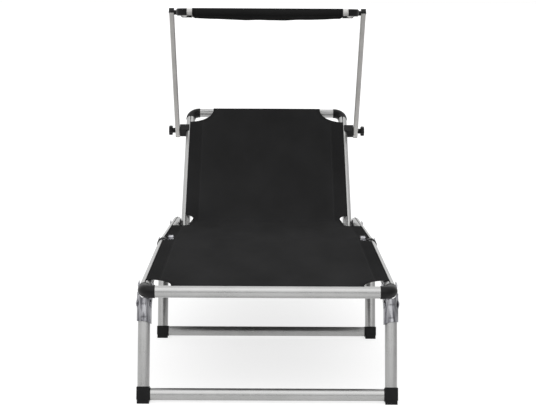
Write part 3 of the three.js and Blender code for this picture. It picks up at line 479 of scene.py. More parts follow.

# %% [markdown]
# ## Woven cloth
# The seat is a mesh of coated thread and the canopy a finer weave. Single threads would need
# millions of faces. Two crossed sine waves along the UVs give the weave's height. The colour is
# darker in the gaps as painted shade, and the bump bends the light. Large soft noise keeps the
# black from looking flat.
# %% Woven cloth
def woven(name, pitch, dark, light, rough, hem):
    finish, place = new_finish(name, IOR=1.2, Specular_IOR_Level=0.01)
    uv = finish.add("TexCoord", out="UV")
    x, y = (finish.add("SeparateXYZ", {0: uv}, out) for out in "XY")
    warp, weft = (finish.math("SINE", finish.math("MULTIPLY", way, 2 * math.pi / pitch))
                  for way in (x, y))
    height = finish.between(finish.math("MULTIPLY", warp, weft), 0.0, 1.0, -1.0, 1.0)
    double, fold, stitches = sewing(finish, x, y, hem)
    shade = finish.noise(finish.stretch(place, (9.0, 2.5, 9.0)), scale=1.0, detail=3.0)
    tone = finish.between(shade, 0.88, 1.12)
    # The fold line is tinted lighter: a painted highlight along the seam's fold.
    for mark, gain in ((double, -0.16), (fold, 0.25), (stitches, 0.45)):
        tone = finish.math("ADD", tone, finish.math("MULTIPLY", mark, gain))
    # The weave's colour is darker in the gaps between threads: painted shade.
    thread_tone_with_painted_gap_shade = finish.tint(height, dark, light)
    weave = finish.bump(height, strength=0.35, distance=pitch * 0.12)
    finish.set(Base_Color=finish.add("VectorMath", {0: thread_tone_with_painted_gap_shade, "Scale": tone}, operation="SCALE"),
               Roughness=finish.between(shade, rough + 0.05, rough - 0.05),
               Normal=finish.bump(finish.math("ADD", double, stitches), strength=0.6,
                                  distance=0.0005, Normal=weave))


woven("sling_fabric", 0.0013, (0.0205, 0.0205, 0.021), (0.035, 0.035, 0.0355), 0.90, hem=0.012)
woven("canopy_fabric", 0.0008, (0.014, 0.014, 0.014), (0.023, 0.023, 0.023), 0.92, hem=0.015)
print("finishes:", ", ".join(finish_of))

# %% [markdown]
# ## Grooved tubes of the lying frame
# The real tubes are extruded aluminium with a keyhole groove. A cord sewn into the edge of the
# fabric slides into the groove from one end. A round tube with a painted line would look the same
# from afar, but the groove catches light and shade. So its outline is drawn and extruded, with
# small rounded lips because a sharp lip would cut the cloth.
# %% Grooved outline
RAIL_R, LIP_STEPS = 13.5, 4


def grooved_circle(radius, slot, channel, lip, fillet=0.5):
    """Tube outline with a slot at the top that opens into a round channel."""
    half = slot / 2
    rise = radius - lip - channel
    fillet_x = half + fillet
    fillet_y = math.sqrt((radius - fillet) ** 2 - fillet_x ** 2)
    lean = math.degrees(math.atan2(fillet_y, fillet_x))
    mouth = math.degrees(math.asin(half / channel))
    return np.vstack([
        arc(0, 0, radius, radius, HALF - lean, FULL + lean, 60),
        arc(fillet_x, fillet_y, fillet, fillet, lean, HALF, LIP_STEPS)[1:],
        arc(0, rise, channel, channel, QUARTER - mouth, mouth - 3 * QUARTER, 16),
        arc(-fillet_x, fillet_y, fillet, fillet, 0, HALF - lean, LIP_STEPS)[:-1]])


GROOVE = grooved_circle(RAIL_R, slot=2.4, channel=3.2, lip=1.3)
print("grooved outline:", len(GROOVE), "points")

# %% [markdown]
# ## Tubes of the lying frame
# Two rails and a crossbar make the foot section, two rails the middle one, and two tubes and a bar
# the backrest. Each could be a curve, but they are all straight, so two end points do. Every tube
# stops short of its neighbour by a small gap, so that nothing touches when the frame folds. The
# backrest's top bar has its groove on the outer side, where the fabric comes round.
# %% Tubes of the lying frame
RAIL_X, GAP, FOLD_GAP = 275.3, 0.3, 1.2
FOOT_BEND, FOOT_AT_BAR, FOOT_AT_RAIL = 22.0, 3.0, 15.0
BACK_BEND, BACK_AT_BAR, BACK_AT_SIDE = 27.0, 2.0, 1.0
BACK_X, BACK_REACH, BACK_TAIL, MID_LENGTH = 244.0, 504.0, 25.0, 730.0

foot_rail = lengthwise(GROOVE, RAIL_X, FOOT_BEND + FOOT_AT_RAIL + GAP, FOLD_Y - FOLD_GAP)
pair("foot_rail_tube", [foot_rail], ALUMINIUM, FOOT, "foot_rail")
foot_bar = crosswise(GROOVE, RAIL_X - FOOT_BEND - FOOT_AT_BAR - GAP, 0)
part("foot_crossbar_tube", [foot_bar], ALUMINIUM, FOOT, "foot_crossbar")
mid_rail = lengthwise(GROOVE, RAIL_X, FOLD_GAP, MID_LENGTH)
pair("mid_rail_tube", [mid_rail], ALUMINIUM, MID, "mid_rail")
back_tube = lengthwise(GROOVE, BACK_X, -BACK_TAIL, BACK_REACH - BACK_BEND - BACK_AT_SIDE - GAP)
pair("backrest_side_tube", [back_tube], ALUMINIUM, BACK, "backrest_tube")
back_bar = crosswise(GROOVE, BACK_X - BACK_BEND - BACK_AT_BAR - GAP, BACK_REACH, AXES["Y"])
part("backrest_top_tube", [back_bar], ALUMINIUM, BACK, "backrest_crossbar")

# %% [markdown]
# ## Corner elbows
# Black moulded corners join the crossbars to the side tubes. Each is a round bar bent through a
# quarter turn, with a slightly thicker band where a tube is pushed in. A torus could be cut in
# four, but rings along the path let the straight parts, the bands and the bend be one skin.
# %% Corner elbows
ELBOW_R, BEND_STEPS = 14.7, 16
BAND, BAND_LONG, BAND_SLOPE, MOUTH_EDGE, MOUTH_IN = 0.35, 4.0, 0.6, 0.4, 0.5


def elbow(x, y, turn, bend, at_bar, at_side, radius, band_long=BAND_LONG, unit=circle(1.0, 40)):
    """From the crossbar's mouth round the bend to the side tube's mouth."""
    path = [((x - bend - at_bar, y), (1, 0), BAND)]
    for angle in angles(0, QUARTER, BEND_STEPS + 1):
        spot = (x - bend + bend * math.sin(angle), y + turn * bend * (1 - math.cos(angle)))
        path.append((spot, (math.cos(angle), turn * math.sin(angle)), 0.0))
    mouth = [(MOUTH_EDGE, BAND), (0.0, BAND - MOUTH_IN)]
    if at_side > band_long:
        mouth = [(band_long + BAND_SLOPE, 0.0), (band_long, BAND), *mouth]
    end = y + turn * (bend + at_side)
    path += [((x, end - turn * back), (0, turn), extra) for back, extra in mouth]
    rings = []
    for (px, py), (dx, dy), extra in path:
        ring = np.outer(unit[:, 0], (dy, -dx, 0)) + np.outer(unit[:, 1], (0, 0, 1))
        rings.append(ring * (radius + extra) + np.array([px, py, 0]))
    return sweep(rings)


foot_elbow = elbow(RAIL_X, 0, 1, FOOT_BEND, FOOT_AT_BAR, FOOT_AT_RAIL, ELBOW_R)
pair("foot_corner", [foot_elbow], PLASTIC, FOOT, "foot_elbow")
back_elbow = elbow(BACK_X, BACK_REACH, -1, BACK_BEND, BACK_AT_BAR, BACK_AT_SIDE, ELBOW_R)
pair("backrest_corner", [back_elbow], PLASTIC, BACK, "backrest_elbow")

# %% [markdown]
# ## End plugs
# Open tube ends carry black push-in plugs with a rounded head, so that no sharp end shows. At the
# fold the tube ends meet, and there the plugs are flat discs inside the tube. A dark material on
# the ends would be simpler, but a plug has its own edge and its own gloss.
# %% End plugs
PLUG_EDGE = 0.4
PLUG_HEAD_SHARES = ((0.6, 0.0), (0.85, 0.9), (1.0, 2.6))
FOLD_PLUG_R, FOLD_PLUG_HALF, FOLD_PLUG_EDGE = 12.0, 0.5, 0.2


def plug(x, y, direction, length):
    """Plug in a tube end. Its head steps in by millimetres at shares of its length."""
    profile = [(0.0, RAIL_R - PLUG_EDGE), (PLUG_EDGE, RAIL_R)]
    profile += [(length * share, RAIL_R - inset) for share, inset in PLUG_HEAD_SHARES]
    if direction < 0:
        profile = [(-h, r) for h, r in profile[::-1]]
    return turned(profile, (x, y, 0), "Y", 40)


pair("rail_end_plug", [plug(RAIL_X, MID_LENGTH, 1, 4.0)], PLASTIC, MID)
for name, body, y in (("foot_fold_plug", FOOT, FOLD_Y - FOLD_GAP),
                      ("mid_fold_plug", MID, FOLD_GAP)):
    stopper = rod(FOLD_PLUG_R, y - FOLD_PLUG_HALF, y + FOLD_PLUG_HALF, (RAIL_X, 0, 0), "Y",
                  FOLD_PLUG_EDGE)
    pair(name, [stopper], PLASTIC, body)
pair("backrest_end_plug", [plug(BACK_X, -BACK_TAIL, -1, 3.0)], PLASTIC, BACK)

# %% [markdown]
# ## Fold fittings
# Where the foot section folds, each rail end wears a black collar. Bright knuckles stand on the
# collars and turn about a short pin above the rail, so that the sections can fold flat. The real
# knuckles are pressed plate. Webs and eyes made of plain bars give the same shape, with a small
# bevel for the rounded edges of the plate.
# %% Fold fittings
COLLAR_R, COLLAR_LONG, COLLAR_X = 16.2, 14.0, (RAIL_X, 0, 0)
EYE_R, EYE_OUTER, EYE_MIDDLE, EYE_INNER = 5.5, 261.0, 255.05, 249.0
WEB_X, WEB_TOP, FOOT_WEB_LOW, MID_WEB_LOW, WEB_START, WEB_REACH = 262.0, 13.5, 5.0, 4.0, 6.5, 7.0
PIN_R, PIN_HIGH, KNUCKLE_BEVEL = 3.4, 1.6, 0.5
for name, body, y, node in (("outer", FOOT, FOLD_Y - FOLD_GAP - COLLAR_LONG, "fold_hinge_foot"),
                            ("inner", MID, FOLD_GAP, "fold_hinge_mid")):
    sleeve = collar(COLLAR_R, RAIL_R + GAP / 2, y, y + COLLAR_LONG, COLLAR_X, "Y")
    pair(f"fold_collar_{name}", [sleeve], PLASTIC, body, node)
foot_knuckle = [
    box(EYE_MIDDLE + GAP / 2, WEB_X, FOLD_Y - COLLAR_LONG, FOLD_Y, FOOT_WEB_LOW, WEB_TOP),
    rod(EYE_R, EYE_MIDDLE + GAP / 2, EYE_OUTER, (0, FOLD_Y, FOLD_RISE))]
pair("fold_knuckle_outer", foot_knuckle, CHROME, FOOT, bevel=KNUCKLE_BEVEL)
mid_knuckle = [
    box(EYE_INNER, WEB_X, WEB_START, COLLAR_LONG, MID_WEB_LOW, WEB_TOP),
    box(EYE_INNER, EYE_MIDDLE - GAP / 2, 0.0, WEB_REACH, MID_WEB_LOW, WEB_TOP),
    rod(EYE_R, EYE_INNER, EYE_MIDDLE - GAP / 2, (0, 0, FOLD_RISE))]
pair("fold_knuckle_inner", mid_knuckle, CHROME, MID, bevel=KNUCKLE_BEVEL)
fold_pin = [dome(PIN_R, PIN_HIGH, (EYE_OUTER + GAP, 0, FOLD_RISE)),
            dome(PIN_R, PIN_HIGH, (EYE_INNER - GAP, 0, FOLD_RISE), -1)]
pair("fold_pin", fold_pin, CHROME, MID)

# %% [markdown]
# ## Backrest hinge
# The backrest turns on a bolt at each side. A thick plastic washer keeps the backrest's tube off
# the rail, and the bolt has low round heads. All of it is lathe work, so the turned helpers make
# it. The CAD has washer and bolt as one part, and here they are two, because their finishes
# differ.
# %% Backrest washers and bolts
BACK_PIVOT, WASHER_R, WASHER_BORE, WASHER_EDGE = 597.0, 17.0, 3.6, 1.2
BOLT_R, BOLT_END, BOLT_HEAD_R, BOLT_HEAD_HIGH = 3.5, 1.0, 8.0, 2.3
inside, outside = BACK_X - RAIL_R, RAIL_X + RAIL_R
hinge = (0, BACK_PIVOT, 0)
washer = collar(WASHER_R, WASHER_BORE, BACK_X + RAIL_R + GAP, RAIL_X - RAIL_R - GAP, hinge, "X",
                WASHER_EDGE)
pair("backrest_washer", [washer], PLASTIC, MID, "backrest_hinge")
bolt = [rod(BOLT_R, inside - BOLT_END, outside + BOLT_END, hinge),
        dome(BOLT_HEAD_R, BOLT_HEAD_HIGH, (outside + GAP, BACK_PIVOT, 0)),
        dome(BOLT_HEAD_R, BOLT_HEAD_HIGH, (inside - GAP, BACK_PIVOT, 0), -1)]
pair("backrest_bolt", bolt, CHROME, MID)

# %% [markdown]
# ## Leg tubes
# Each leg frame has two round tubes. The top of a tube is a dome about its rivet, because it turns
# inside the pressed bracket, close below the rail. A sphere on a cylinder would be as deep as it is
# wide. So the rings of the top are worked out from the room that the bracket leaves.
# %% Leg tubes
LEG_R, DOME_HALF = 13.5, 14.6
LEG_TOP_SHARES = (1.0, 0.97, 0.92, 0.84, 0.72, 0.56, 0.36, 0.12)


def leg_tube(bottom, steps=48):
    unit = circle(1.0, steps)
    x, y = unit[:, 0] * LEG_R, unit[:, 1] * LEG_R
    rings = [np.column_stack([x + RAIL_X, y, np.full(steps, bottom)])]
    for share in LEG_TOP_SHARES:
        room = LEG_R ** 2 * (1 - (x * share / DOME_HALF) ** 2) - (y * share) ** 2
        rings.append(np.column_stack([x * share + RAIL_X, y * share, np.sqrt(np.maximum(room, 0))]))
    return sweep(rings)


print("leg tube 220 mm long:", len(leg_tube(-220.0)[1]), "faces")

# %% [markdown]
# ## Moulded feet
# A foot is one black moulding that joins a leg tube to the bar: a block, a rim round each tube and
# a pad below. The legs lean, so the pads are cut flat to the floor. A boolean cut with the floor
# could do that. Here the height of the floor under each edge of the pad is simply worked out.
# %% Moulded feet
FOOT_WIDE, FOOT_DEEP, FOOT_CORNER, FOOT_BEVEL = 29.0, 29.0, 3.5, 1.1
PAD_HIGH, PAD_WIDE, PAD_DEEP, PAD_OVERLAP = 6.0, 27.0, 26.0, 2.0
LEG_RIM = ((0, 1.0), (2.6, 1.0), (3.2, 0.4))
LEG_RIM_DOWN, BAR_RIM_IN = 2.6, 0.4
BAR_RIM = ((0, 0.9), (1.6, 0.9), (2.0, 0.5))
inner, outer = RAIL_X - FOOT_WIDE / 2, RAIL_X + FOOT_WIDE / 2


def foot(top, bottom, floor_at, bar_radius, bar_z):
    block = np.vstack([
        [(inner, bottom), (outer, bottom), (outer, top)],
        arc(inner + FOOT_CORNER, top - FOOT_CORNER, FOOT_CORNER, FOOT_CORNER, QUARTER, HALF, 10)])
    half, over = PAD_DEEP / 2, bottom + PAD_OVERLAP
    pad = np.array([(-half, floor_at(-half)), (half, floor_at(half)), (half, over), (-half, over)])
    mouth = turned([(h, LEG_R + r) for h, r in LEG_RIM], (RAIL_X, 0, top - LEG_RIM_DOWN), "Z", 40)
    start = inner + BAR_RIM_IN
    ring = turned([(h, bar_radius + r) for h, r in BAR_RIM], (start, 0, bar_z), "X", 40)
    return [plate_y(block, -FOOT_DEEP / 2, FOOT_DEEP / 2),
            plate_x(pad, RAIL_X - PAD_WIDE / 2, RAIL_X + PAD_WIDE / 2),
            mouth, moved(ring, (2 * start, 0, 0), -1)]


print("foot block from", inner, "to", outer)

# %% [markdown]
# ## Leg frames
# The front, middle and rear leg are built alike, with a thicker bar at the front. The rear one
# leans the other way. Three copies could be made in Blender, but each has its own lean and height,
# so one function builds them from those numbers. Heights are given above the floor and turned into
# distances along the leaning leg.
# %% Leg frames
def leg_frame(name, lean, bar_radius, bar_height, foot_height):
    body, turn = f"{name}_leg", math.radians(lean)
    hinge_height = pivot[f"{name}_leg_fold"].z / MM
    along = lambda height: (height - hinge_height) / math.cos(turn)
    floor_at = lambda y: -(hinge_height + y * math.sin(turn)) / math.cos(turn)
    top, bottom, bar_z = along(foot_height), along(PAD_HIGH), along(bar_height)
    pair(f"{body}_side", [leg_tube(top + GAP)], ALUMINIUM, body, f"{body}_tube")
    ends = [(-inner + GAP, bar_radius), (inner - GAP, bar_radius)]
    part(f"{body}_crossbar", [turned(ends, (0, 0, bar_z), "X", 48)], ALUMINIUM, body, f"{body}_bar")
    pair(f"{name}_foot_moulding", foot(top, bottom, floor_at, bar_radius, bar_z), PLASTIC, body,
         f"{name}_foot", FOOT_BEVEL)


leg_frame("front", -FRONT_LEAN, 13.5, 18.0, 34.0)
leg_frame("mid", -MID_LEAN, 12.5, 16.0, 28.0)
leg_frame("rear", REAR_LEAN, 12.5, 16.0, 28.0)

# %% [markdown]
# ## Channel of a leg bracket
# A bracket is pressed from one strip of steel. Its rounded channel stops the leg when it is open.
# The edges run higher on the outside and lower on the inside, and small dimples make it stiff. A
# cut cylinder with a Solidify modifier could be a start. A skin over rows of points shapes the
# edges, the wall and the dimples at once.
# %% Channel of a leg bracket
BRACKET_HALF, BRACKET_WALL, BRACKET_DEEP = 15.0, 1.5, 14.5
BRACKET_TOP, BRACKET_BOTTOM, BRACKET_BACK = 11.5, -40.0, 6.0
OUTER_RISE, INNER_DROP = 13.0, 6.0
DIMPLES, DIMPLE_DEEP, DIMPLE_STRETCH = ((-4.0, 5.0), (-33.0, 5.0)), 0.2, 1.5
CHANNEL_ROWS, CHANNEL_STEPS = 40, 32


def dimple_depth(across, z):
    deep = 0.0
    for centre, size in DIMPLES:
        d = math.hypot(across / DIMPLE_STRETCH, z - centre) / size
        deep += DIMPLE_DEEP * max(0.0, 1 - d * d) ** 2
    return deep


def channel(facing, lean):
    """Thick shell about the leg's hinge, open to the back, turned by the leg's lean."""
    bend = [(a, math.cos(a), math.sin(a)) for a in angles(HALF, 0, CHANNEL_STEPS + 1)]
    spots = [(BRACKET_HALF * c, BRACKET_DEEP * s, c, s, (a - math.pi / 2) * BRACKET_DEEP)
             for a, c, s in bend]
    spots.insert(0, (-BRACKET_HALF, -BRACKET_BACK, -1.0, 0.0, None))
    spots.append((BRACKET_HALF, -BRACKET_BACK, 1.0, 0.0, None))
    lean = math.radians(-facing * lean)
    rings = []
    for share in np.linspace(0, 1, CHANNEL_ROWS + 1):
        shell, lining = [], []
        for x, y, nx, ny, across in spots:
            bottom = BRACKET_BOTTOM - INNER_DROP * max(0.0, -nx) ** 2
            top = BRACKET_TOP + OUTER_RISE * max(0.0, nx) ** 2
            z = bottom + (top - bottom) * share
            push = 0.0 if across is None else -dimple_depth(across, z)
            lining.append((x + nx * push, y + ny * push, z))
            shell.append((x + nx * (BRACKET_WALL + push), y + ny * (BRACKET_WALL + push), z))
        x, y, z = np.array(shell + lining[::-1]).T
        y = -facing * y
        rings.append(np.column_stack([x + RAIL_X, y * math.cos(lean) - z * math.sin(lean),
                                      y * math.sin(lean) + z * math.cos(lean)]))
    return sweep(rings)


print("channel with a wall of", BRACKET_WALL, "mm:", len(channel(1, 0.0)[1]), "faces")

# %% [markdown]
# ## Leg brackets
# Two side plates reach from the channel up to the rail. One rivet is the leg's hinge and the other
# holds the bracket to the rail. Inside, the heads are nearly flat, because the backrest's tube
# passes close to them when it lies down. The same function makes all three pairs.
# %% Leg brackets
DROP, RIVET_Y, PLATE_R, BRACKET_BEVEL = 30.0, 62.0, 11.0, 0.35
RIVET_R, OUTER_HEAD, INNER_HEAD = 3.6, (7.0, 2.4), (5.0, 0.8)
FRONT_LEG_Y, MID_LEG_Y, REAR_LEG_Y = 20.0, 15.0, 705.0


def capsule(y0, z0, y1, z1, radius, steps=14):
    lean = math.degrees(math.atan2(z1 - z0, y1 - y0))
    return np.vstack([arc(y1, z1, radius, radius, lean - QUARTER, lean + QUARTER, steps),
                      arc(y0, z0, radius, radius, lean + QUARTER, lean + QUARTER + HALF, steps)])


def leg_bracket(name, body, y, facing, lean):
    near, far = BRACKET_HALF, BRACKET_HALF + BRACKET_WALL
    plate = capsule(0, 0, facing * RIVET_Y, DROP, PLATE_R)
    solids = [channel(facing, lean), plate_x(plate, RAIL_X + near, RAIL_X + far),
              plate_x(plate, RAIL_X - far, RAIL_X - near)]
    for ry, rz in ((0, 0), (facing * RIVET_Y, DROP)):
        solids += [dome(*OUTER_HEAD, (RAIL_X + far, ry, rz)),
                   dome(*INNER_HEAD, (RAIL_X - far, ry, rz), -1),
                   rod(RIVET_R, RAIL_X - far, RAIL_X + far, (0, ry, rz))]
    pair(f"{name}_bracket_pressing", [moved(s, (0, y, -DROP)) for s in solids], CHROME, body,
         f"{name}_leg_bracket", BRACKET_BEVEL)


leg_bracket("front", FOOT, FRONT_LEG_Y, 1, FRONT_LEAN)
leg_bracket("mid", MID, MID_LEG_Y, 1, MID_LEAN - MID_SLOPE)
leg_bracket("rear", MID, REAR_LEG_Y, -1, MID_SLOPE + REAR_LEAN)

# %% [markdown]
# ## Canopy clamps
# A black block grips each side tube of the backrest and carries the arm of the canopy. Its seat for
# the tube is a half-round hollow. A boolean could cut it, but the hollow runs through the whole
# block, so it can be part of the outline that is extruded.
# %% Canopy clamps
CLAMP_Y, CLAMP_LONG, CLAMP_HIGH, CLAMP_IN, CLAMP_OUT = 421.0, 27.0, 29.0, 247.0, 277.2
CLAMP_SEAT, CLAMP_BEVEL = 77, 2.0
seat_arc = arc(BACK_X, 0, RAIL_R + GAP, RAIL_R + GAP, CLAMP_SEAT, -CLAMP_SEAT, 24)
clamp_outline = np.vstack([
    [(CLAMP_IN, -CLAMP_HIGH / 2), (CLAMP_OUT, -CLAMP_HIGH / 2), (CLAMP_OUT, CLAMP_HIGH / 2),
     (CLAMP_IN, CLAMP_HIGH / 2)], seat_arc])
clamp = plate_y(clamp_outline, CLAMP_Y - CLAMP_LONG / 2, CLAMP_Y + CLAMP_LONG / 2)
pair("canopy_clamp_block", [clamp], PLASTIC, BACK, "canopy_clamp", CLAMP_BEVEL)

# %% [markdown]
# ## Canopy arms
# Each arm is a flat aluminium tube with rounded edges. At its top it has a black cap, with a round
# stub on which the canopy tips, and at its foot a plug. A box with a bevel would come close, but a
# rounded outline keeps the same edge all along and serves the plug too.
# %% Canopy arms
ARM_X, ARM_THICK, ARM_DEEP, ARM_EDGE, ARM_BEVEL = 284.6, 14.2, 18.0, 2.6, 0.5
ARM_REACH, ARM_TAIL, ARM_TOP = 508.0, 22.0, 8.2
ARM_PLUG_INSET, ARM_PLUG_OUT, ARM_PLUG_IN = 0.6, 1.5, 1.0
CAP_OVER, CAP_HIGH, CAP_SKIRT, CAP_BEVEL = 0.4, 4.0, 1.0, 0.9
STUB_R, STUB_EDGE, TILT_PIN_R, LUG_RIVET = 7.0, 0.8, 2.2, (5.0, 1.8)
CANOPY_X, CANOPY_R = 257.0, 10.0

arm_outline = rounded_box(ARM_THICK / 2, ARM_DEEP / 2, ARM_EDGE, 5)
arm = lengthwise(arm_outline, ARM_X, -ARM_TAIL, ARM_REACH + ARM_TOP)
pair("canopy_arm_side", [arm], "canopy_aluminium", ARMS, "canopy_arm", ARM_BEVEL)
plug_outline = rounded_box((ARM_THICK - ARM_PLUG_INSET) / 2, (ARM_DEEP - ARM_PLUG_INSET) / 2,
                           ARM_EDGE, 5)
arm_plug = lengthwise(plug_outline, ARM_X, -ARM_TAIL - ARM_PLUG_OUT, -ARM_TAIL + ARM_PLUG_IN)
pair("canopy_arm_plug", [arm_plug], PLASTIC, ARMS, bevel=ARM_BEVEL)
cap_y, cap_half = ARM_REACH + ARM_TOP + GAP, ARM_DEEP / 2 + CAP_OVER
cap_outline = np.vstack([[(cap_y - CAP_SKIRT, -cap_half)],
                         arc(cap_y, 0, CAP_HIGH, cap_half, -QUARTER, QUARTER, 14),
                         [(cap_y - CAP_SKIRT, cap_half)]])
stub_x, tilt = CANOPY_X + CANOPY_R + GAP, (0, ARM_REACH, 0)
cap = [plate_x(cap_outline, ARM_X - ARM_THICK / 2 - CAP_OVER, ARM_X + ARM_THICK / 2 + CAP_OVER),
       rod(STUB_R, stub_x, ARM_X, tilt, edge=STUB_EDGE),
       rod(TILT_PIN_R, CANOPY_X, stub_x + 1, tilt)]
pair("canopy_arm_head", cap, PLASTIC, ARMS, "canopy_arm_cap", CAP_BEVEL)
pair("canopy_arm_rivet", [dome(*LUG_RIVET, (ARM_X + ARM_THICK / 2, ARM_REACH, 0))], CHROME, ARMS)

# %% [markdown]
# ## Clamping knobs
# A lobed knob screws through each arm into the clamp block and is turned by hand. Boolean cuts in a
# cylinder leave hard edges between the lobes. Here the radius follows a cosine round the knob, and
# each ring of the head steps in by its own amount, which rounds the rim and hollows the face.
# %% Clamping knobs
KNOB_R, KNOB_DIP, KNOB_LOBES, LOBE_STEPS, KNOB_OUT = 15.5, 2.4, 6, 16, 8.0
KNOB_RINGS = ((0.0, 3.0), (0.5, 1.1), (1.7, 0.0), (9.8, 0.0), (11.2, 0.8), (11.85, 2.2),
              (12.0, 5.5), (11.3, 8.0))
SCREW_R, SCREW_START = 3.0, 262.0


def knob():
    """Head and stem. A ring is its distance from the face's plane and how far it steps in."""
    turn = np.radians(np.arange(0, FULL, FULL / (KNOB_LOBES * LOBE_STEPS)))
    dip = KNOB_DIP * (1 - np.cos(turn * KNOB_LOBES)) / 2
    start = ARM_X + ARM_THICK / 2 + GAP
    face = start + KNOB_OUT
    rings = []
    for x, inset in KNOB_RINGS:
        radius = np.maximum(KNOB_R - inset - dip * (1 - inset / KNOB_R), 1.0)
        rings.append(np.column_stack([
            np.full(len(turn), face + x), radius * np.cos(turn), radius * np.sin(turn)]))
    stem = [(start, 7.4), (start + 0.6, 8.0), (face - 1.2, 8.0), (face + 0.5, 9.6)]
    return [sweep(rings), turned(stem, (0, 0, 0), "X", 40)]


screw = rod(SCREW_R, SCREW_START, ARM_X + ARM_THICK, (0, 0, 0))
for side in ("right", "left"):
    body = f"knob_{side}"
    part(f"{body}_head", knob(), PLASTIC, body, body, mirror=side == "left")
    part(f"{body}_screw", [screw], CHROME, body, mirror=side == "left")

# %% [markdown]
# ## Canopy frame
# The canopy frame is a rectangle of thinner grooved tube. The side tubes have their grooves
# underneath and the bars have theirs on top, so the cloth covers the bars and hides them. Its black
# corners look boxy, so the elbow's round outline is swapped for a rounded square.
# %% Canopy frame
CANOPY_GROOVE = grooved_circle(CANOPY_R, slot=2.2, channel=2.5, lip=1.2, fillet=0.4)
CANOPY_NEAR, CANOPY_FAR, CANOPY_BEND = 85.0, 260.0, 20.0
CANOPY_AT_BAR, CANOPY_AT_SIDE, CANOPY_ELBOW, CANOPY_BAND = 1.0, 10.0, 10.4, 3.0
BOXY = rounded_box(1.0, 1.0, 0.45, 9)

side_tube = lengthwise(CANOPY_GROOVE, CANOPY_X, -CANOPY_NEAR + CANOPY_BEND + CANOPY_AT_SIDE + GAP,
                       CANOPY_FAR - CANOPY_BEND - CANOPY_AT_SIDE - GAP, -AXES["Z"])
pair("canopy_side", [side_tube], "canopy_aluminium", CANOPY, "canopy_side_tube")
bar_half = CANOPY_X - CANOPY_BEND - CANOPY_AT_BAR - GAP
for name, y, turn in (("near", -CANOPY_NEAR, 1), ("far", CANOPY_FAR, -1)):
    part(f"canopy_{name}_tube", [crosswise(CANOPY_GROOVE, bar_half, y)], "canopy_aluminium", CANOPY,
         f"canopy_{name}_bar")
    corner = elbow(CANOPY_X, y, turn, CANOPY_BEND, CANOPY_AT_BAR, CANOPY_AT_SIDE, CANOPY_ELBOW,
                   CANOPY_BAND, BOXY)
    pair(f"canopy_{name}_corner", [corner], PLASTIC, CANOPY, f"canopy_{name}_elbow")

# %% [markdown]
# ## Fabric as rows
# Each stretched fabric is one sheet, described by rows across the lounger: where the row lies, how
# wide the sheet is there, whether its edge is held in a tube's groove or cut free, and how far it
# sags. A held edge rolls over into the groove, and a free edge turns down a little at its hem. A
# cloth simulation is the usual way for cushions. Stretched cloth hardly folds, so rows say it all.
# %% Rows of a sheet
EDGE_REACH = 3.0
HELD_ROLL = ((1.4, 0.15), (2.4, 0.8), (2.9, 1.8), (3.0, 3.2), (3.0, 6.0))
FREE_ROLL = ((0.8, 0.0), (1.6, 0.0), (2.4, 0.05), (2.9, 0.3), (3.0, 0.7))
FROM_EDGE = (48.0, 38.0, 30.3, 24.0, 18.0, 13.0, 9.5, 6.0, 3.0, 0.0)


def row(body, y, z, half, held=False, sag=0.0):
    place = at[body] @ Vector((0, y, z))
    return place.y, place.z, half, held, sag


def across(half, held, steps):
    """Half a row from the middle out: place, drop at the edge and distance on the flat cloth."""
    edge = half - EDGE_REACH
    near = edge - np.array(FROM_EDGE)
    flat = np.concatenate([np.linspace(0, near[0], steps, endpoint=False), near])
    roll = np.array(HELD_ROLL if held else FREE_ROLL)
    length = np.cumsum(np.linalg.norm(np.diff(roll, axis=0, prepend=[[0.0, 0.0]]), axis=1))
    drop = np.concatenate([np.zeros(len(flat)), roll[:, 1]])
    return [np.concatenate([flat, edge + roll[:, 0]]), drop, np.concatenate([flat, edge + length])]


def whole(half_row, sign):
    """Both halves of a row. The left one is the right one turned round, times the sign."""
    return np.concatenate([sign * half_row[:0:-1], half_row])


def sheet_grid(rows, steps, edge_lift, ripple):
    """Points of the sheet in metres, and the same points on the flat cloth in millimetres."""
    centre = np.array([spot[:2] for spot in rows])
    along = np.concatenate([[0], np.cumsum(np.linalg.norm(np.diff(centre, axis=0), axis=1))]) / MM
    tangent = np.gradient(centre, axis=0)
    tangent /= np.linalg.norm(tangent, axis=1, keepdims=True)
    grid, flat = [], []
    for (y, z, half, held, sag), (ty, tz), v in zip(rows, tangent, along):
        x, drop, u = across(half, held, steps)
        x, u, drop = whole(x, -1), whole(u, -1), whole(drop, 1)
        out = (x / half) ** 2
        lift = -drop - sag * (1 - edge_lift * out) + ripple(x, v) * (1 - out)
        grid.append(np.column_stack([x, y / MM - tz * lift, z / MM + ty * lift]) * MM)
        flat.append(np.column_stack([u, np.full(len(u), v)]))
    return np.array(grid), np.array(flat)


print("a held edge rolls down by", HELD_ROLL[-1][1], "mm")

# %% [markdown]
# ## Thickness and edges of a sheet
# A sheet has an upper and a lower layer, closed all round. A Solidify modifier would do that, but
# the layers are made here so that both carry the flat cloth's UVs. Each point also gets its
# distance to the free edge and to the side seam, which the material turns into hems and stitches.
# %% Thickness and edges
FREE_EDGE_STEP = 2.0


def shell_faces(count, width):
    top = lambda i, j: i * width + j
    below = lambda i, j: (count + i) * width + j
    faces, i1, j1 = [], count - 1, width - 1
    for i in range(i1):
        for j in range(j1):
            faces.append([top(i, j), top(i, j + 1), top(i + 1, j + 1), top(i + 1, j)])
            faces.append([below(i, j), below(i + 1, j), below(i + 1, j + 1), below(i, j + 1)])
        faces.append([top(i, 0), top(i + 1, 0), below(i + 1, 0), below(i, 0)])
        faces.append([top(i, j1), below(i, j1), below(i + 1, j1), top(i + 1, j1)])
    for j in range(j1):
        faces.append([top(0, j), below(0, j), below(0, j + 1), top(0, j + 1)])
        faces.append([top(i1, j), top(i1, j + 1), below(i1, j + 1), below(i1, j)])
    return faces


